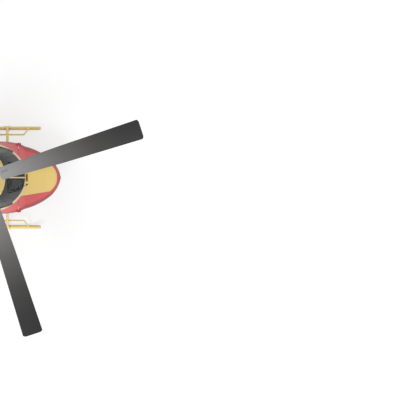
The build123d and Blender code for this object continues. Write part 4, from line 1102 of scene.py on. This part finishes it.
for turn in (math.radians(63), math.radians(243)):  # scissor links that turn the swashplate with the mast
    out = Vector((math.cos(turn), math.sin(turn), 0))
    low, knee, high = out * 0.150 + Vector((0, 0, ringHigh[2])), out * 0.215 + Vector((0, 0, ringHigh[2] + 0.105)), \
        out * 0.080 + Vector((0, 0, ringHigh[2] + 0.190))
    for start, end in ((low, knee), (knee, high)):
        headParts.append(dressed(settle(bar([fromMast(*start), fromMast(*end)], 0.030, 0.010, 0.002)), darkSteel))
    for point in (low, knee):
        pin = drum(0.008, 0.044, fromMast(*point), (math.radians(90), 0, turn), sides=16, rounding=0.0015)
        headParts.append(dressed(settle(pin), platedSteel))
collar = turned(((0.0725, -0.016), (0.088, -0.016), (0.090, -0.013), (0.090, 0.013), (0.088, 0.016), (0.0725, 0.016), (0.0725, -0.016)),
                fromMast(0, 0, ringHigh[2] + 0.190), sides=40)
headParts.append(dressed(settle(collar), darkSteel))
finished(joined("rotor_head_fittings", headParts), "main_rotor")
print("rotor head dressed")


def lipAlong(name, skin, points, direction, radius, material):  # a round bead along points dropped on a skin
    line = []
    for point in points:
        place, normal = landOn(skin, point, direction)
        if place is not None:
            line.append(place + normal * radius * 0.4)
    bead = roundTube(line, radius, 3, 2)
    bead.name = bead.data.name = name
    return finished(dressed(bead, material), "airframe")


# Lips round the mast opening and the two air intakes: rubber round the mast, anodised aluminium round the intakes
circle = [fromMast(0.139 * math.cos(math.radians(10 * i)), 0.139 * math.sin(math.radians(10 * i)), 2.9) for i in range(37)]
lipAlong("mast_seal", cowlSkin, circle, (0, 0, -1), 0.009, blackRubber)
for label, side in (("left", 1), ("right", -1)):
    outline = []
    for i in range(61):
        turn = 2 * math.pi * i / 60
        flatness = (abs(math.cos(turn)) ** 5 + abs(math.sin(turn)) ** 5) ** -0.2
        x = -0.20 + 0.150 * math.cos(turn) * flatness
        z = 2.115 + 0.0965 * math.sin(turn) * flatness - (x + 0.20) * 0.0714
        outline.append(fromMast(x, side * 1.0, z))
    lipAlong("intake_lip_" + label, cowlSkin, outline, (0, -side, 0), 0.008, alloyTrim)

# Exhausts: a rolled lip, a clamp band with its bolt, and a sooty cone inside
exhaustParts = []
soot = plainMaterial("sootCoatedSteel", "#141312", 0.95, noiseScale=40.0, bump=0.4)  # swallows the light inside the pipes
heatSteel = plainMaterial("heatBluedSteel", "#6E6257", 0.4, 1.0, noiseScale=25.0, variation=0.2)  # brown and straw stains
for side in (1, -1):
    front, back = fromMast(-1.250, side * 0.230, 2.150), fromMast(-1.960, side * 0.320, 2.235)
    run = (back - front).normalized()
    lip = turned(((0.0895, -0.014), (0.0975, -0.014), (0.1005, -0.007), (0.0995, 0.0), (0.0945, 0.003), (0.0895, 0.0),
                  (0.0895, -0.014)), sides=56)
    band = turned(((0.0945, -0.010), (0.0985, -0.010), (0.0992, 0.0), (0.0985, 0.010), (0.0945, 0.010), (0.0945, -0.010)),
                  (0, 0, -0.120), sides=56)
    lug = block((0.016, 0.022, 0.018), (0.1035, 0, -0.120), rounding=0.002)
    screw = drum(0.004, 0.042, (0.1040, 0, -0.120), (math.radians(90), 0, 0), sides=14, rounding=0.0008)
    liner = turned(((0.0885, -0.004), (0.0885, -0.34), (0.030, -0.36), (0.0, -0.30), (0.0, -0.302), (0.028, -0.363),
                    (0.0892, -0.343), (0.0892, -0.004), (0.0885, -0.004)), sides=48)
    pipe = joined("exhaust", [dressed(lip, heatSteel), dressed(settle(band), alloyTrim), dressed(settle(lug), alloyTrim),
                              dressed(settle(screw), platedSteel), dressed(liner, soot)])
    pipe.matrix_world = standing(back, run, (0, 0, 1))
    exhaustParts.append(settle(pipe))
finished(joined("exhaust_fittings", exhaustParts), "airframe")
paintWith(heatSteel, "exhaust_pipes")
print("intakes and exhausts trimmed")

# Straps over the tail drive shaft cover, each with a toggle latch
coverStart, coverEnd = fromMast(-2.140, 0, 1.868), fromMast(-4.285, 0, 1.832)
coverRun = (coverEnd - coverStart).normalized()
straps = []
for x in (-2.52, -3.02, -3.52, -4.02):
    middle = coverStart + coverRun * ((-2.140 - x) / abs(coverRun.x))
    strap = turned(((0.0575, -0.011), (0.0600, -0.011), (0.0608, 0.0), (0.0600, 0.011), (0.0575, 0.011), (0.0575, -0.011)), sides=48)
    latch = block((0.008, 0.030, 0.016), (0.063, 0, 0), (0, 0, 0), 0.002)
    catch = turned(((0.0, 0.006), (0.003, 0.005), (0.004, 0.0)), (0.067, 0.008, 0), (0, math.radians(90), 0), 12)
    strap = joined("strap", [dressed(strap, alloyTrim), dressed(latch, platedSteel), dressed(settle(catch), platedSteel)])
    strap.matrix_world = standing(middle, coverRun, (0, 0.6, 0.8))
    straps.append(settle(strap))
finished(joined("drive_cover_straps", straps), "airframe")

# Tail rotor and its gearbox: bolts, a nut cap, an oil sight glass and drain plug
tailFrame = Matrix.Translation(fromMast(-4.850, 0, 2.710)) @ Matrix.Rotation(math.radians(12), 4, "Y")
outward = (math.radians(-90), 0, 0)
tailParts = [hexBolt(0.0075, 0.007, (0, 0.314, z), outward) for z in (-0.240, -0.180, -0.110, 0.110, 0.180, 0.240)]
for i in range(6):
    turn = math.radians(60 * i + 30)
    tailParts.append(hexBolt(0.006, 0.006, (0.036 * math.cos(turn), 0.338, 0.036 * math.sin(turn)), outward))
nutCap = turned(((0.0, 0.018), (0.010, 0.017), (0.018, 0.011), (0.0215, 0.004), (0.0225, 0.0), (0.0225, -0.012), (0.0183, -0.012)), (0, 0.411, 0), outward, 28)
tailParts.append(dressed(settle(nutCap), alloyTrim))
for z in (-0.110, 0.110):
    boot = turned(((0.0085, 0.0), (0.015, 0.004), (0.012, 0.010), (0.015, 0.016), (0.0085, 0.020), (0.0085, 0.0)), (0, 0.352, z), outward, 20)
    tailParts.append(dressed(settle(boot), blackRubber))
tailHead = joined("tail_rotor_fittings", tailParts)
tailHead.matrix_world = tailFrame
finished(tailHead, "tail_rotor")
boxParts = []
for i in range(8):
    turn = math.radians(45 * i + 22.5)
    boxParts.append(hexBolt(0.006, 0.006, fromMast(-4.850 + 0.051 * math.cos(turn), 0.150, 2.710 + 0.051 * math.sin(turn)), outward))
glassRound = turned(((0.0, 0.003), (0.010, 0.002), (0.011, 0.005), (0.016, 0.005), (0.017, 0.0)), fromMast(-4.912, 0.095, 2.710),
                    (0, math.radians(-90), 0), 24)
plug = drum(0.011, 0.012, fromMast(-4.850, 0.095, 2.644), sides=6, rounding=0.001)
breather = turned(((0.0, 0.026), (0.009, 0.025), (0.011, 0.018), (0.006, 0.012), (0.009, 0.010), (0.010, 0.0)), fromMast(-4.850, 0.095, 2.7705), sides=20)
boxParts += [dressed(settle(glassRound), yellowTrim), dressed(settle(plug), platedSteel), dressed(settle(breather), alloyTrim)]
finished(joined("tail_gearbox_fittings", boxParts), "airframe")
shoe = turned(((0.0, 0.0), (0.012, 0.0005), (0.0185, 0.004), (0.020, 0.010), (0.020, 0.118), (0.017, 0.124), (0.0142, 0.124)),
              fromMast(-5.020, 0, 1.250), (0, math.radians(90), 0), 28)
shoe.name = shoe.data.name = "tail_skid_shoe"
finished(dressed(shoe, blackRubber), "airframe")
print("tail dressed")

# Landing gear: end caps, bolts on the sleeves and a tread of ribs on the boarding steps
gearParts = []
capShape = ((0.0, 0.016), (0.026, 0.014), (0.038, 0.009), (0.0435, 0.001), (0.0440, -0.006), (0.0440, -0.034), (0.0428, -0.036))
toeRun = Vector((0.195, 0, 0.1625)).normalized()
for side in (1, -1):
    rear = turned(capShape, fromMast(-1.750, side * 1.200, 0.0446), (0, math.radians(-90), 0), 36)
    toe = turned(capShape, (0, 0, 0), sides=36)
    toe.matrix_world = standing(fromMast(1.345, side * 1.200, 0.205), toeRun, (0, 0, 1))
    gearParts += [dressed(settle(rear), skidEnamel), dressed(settle(toe), skidEnamel)]
    for x in (0.560, -1.080):
        for along in (-0.058, 0.058):
            gearParts.append(hexBolt(0.0095, 0.010, fromMast(x + along, side * 1.200, 0.0942)))
            gearParts.append(hexBolt(0.0095, 0.010, fromMast(x + along, side * 1.2515, 0.0425), (math.radians(-90 * side), 0, 0)))
finished(joined("gear_caps_and_bolts", gearParts), "airframe")
rib = dressed(block((0.006, 0.022, 0.004), (0, 0, 0.0008), rounding=0.0012, segments=1), blackRubber)
spots = [Matrix.Translation(fromMast(-0.80 + 0.028 * i, side * 1.045, 0.253)) for side in (1, -1) for i in range(46)]
finished(placed(rib, spots, "step_treads"), "airframe")
print("landing gear dressed")
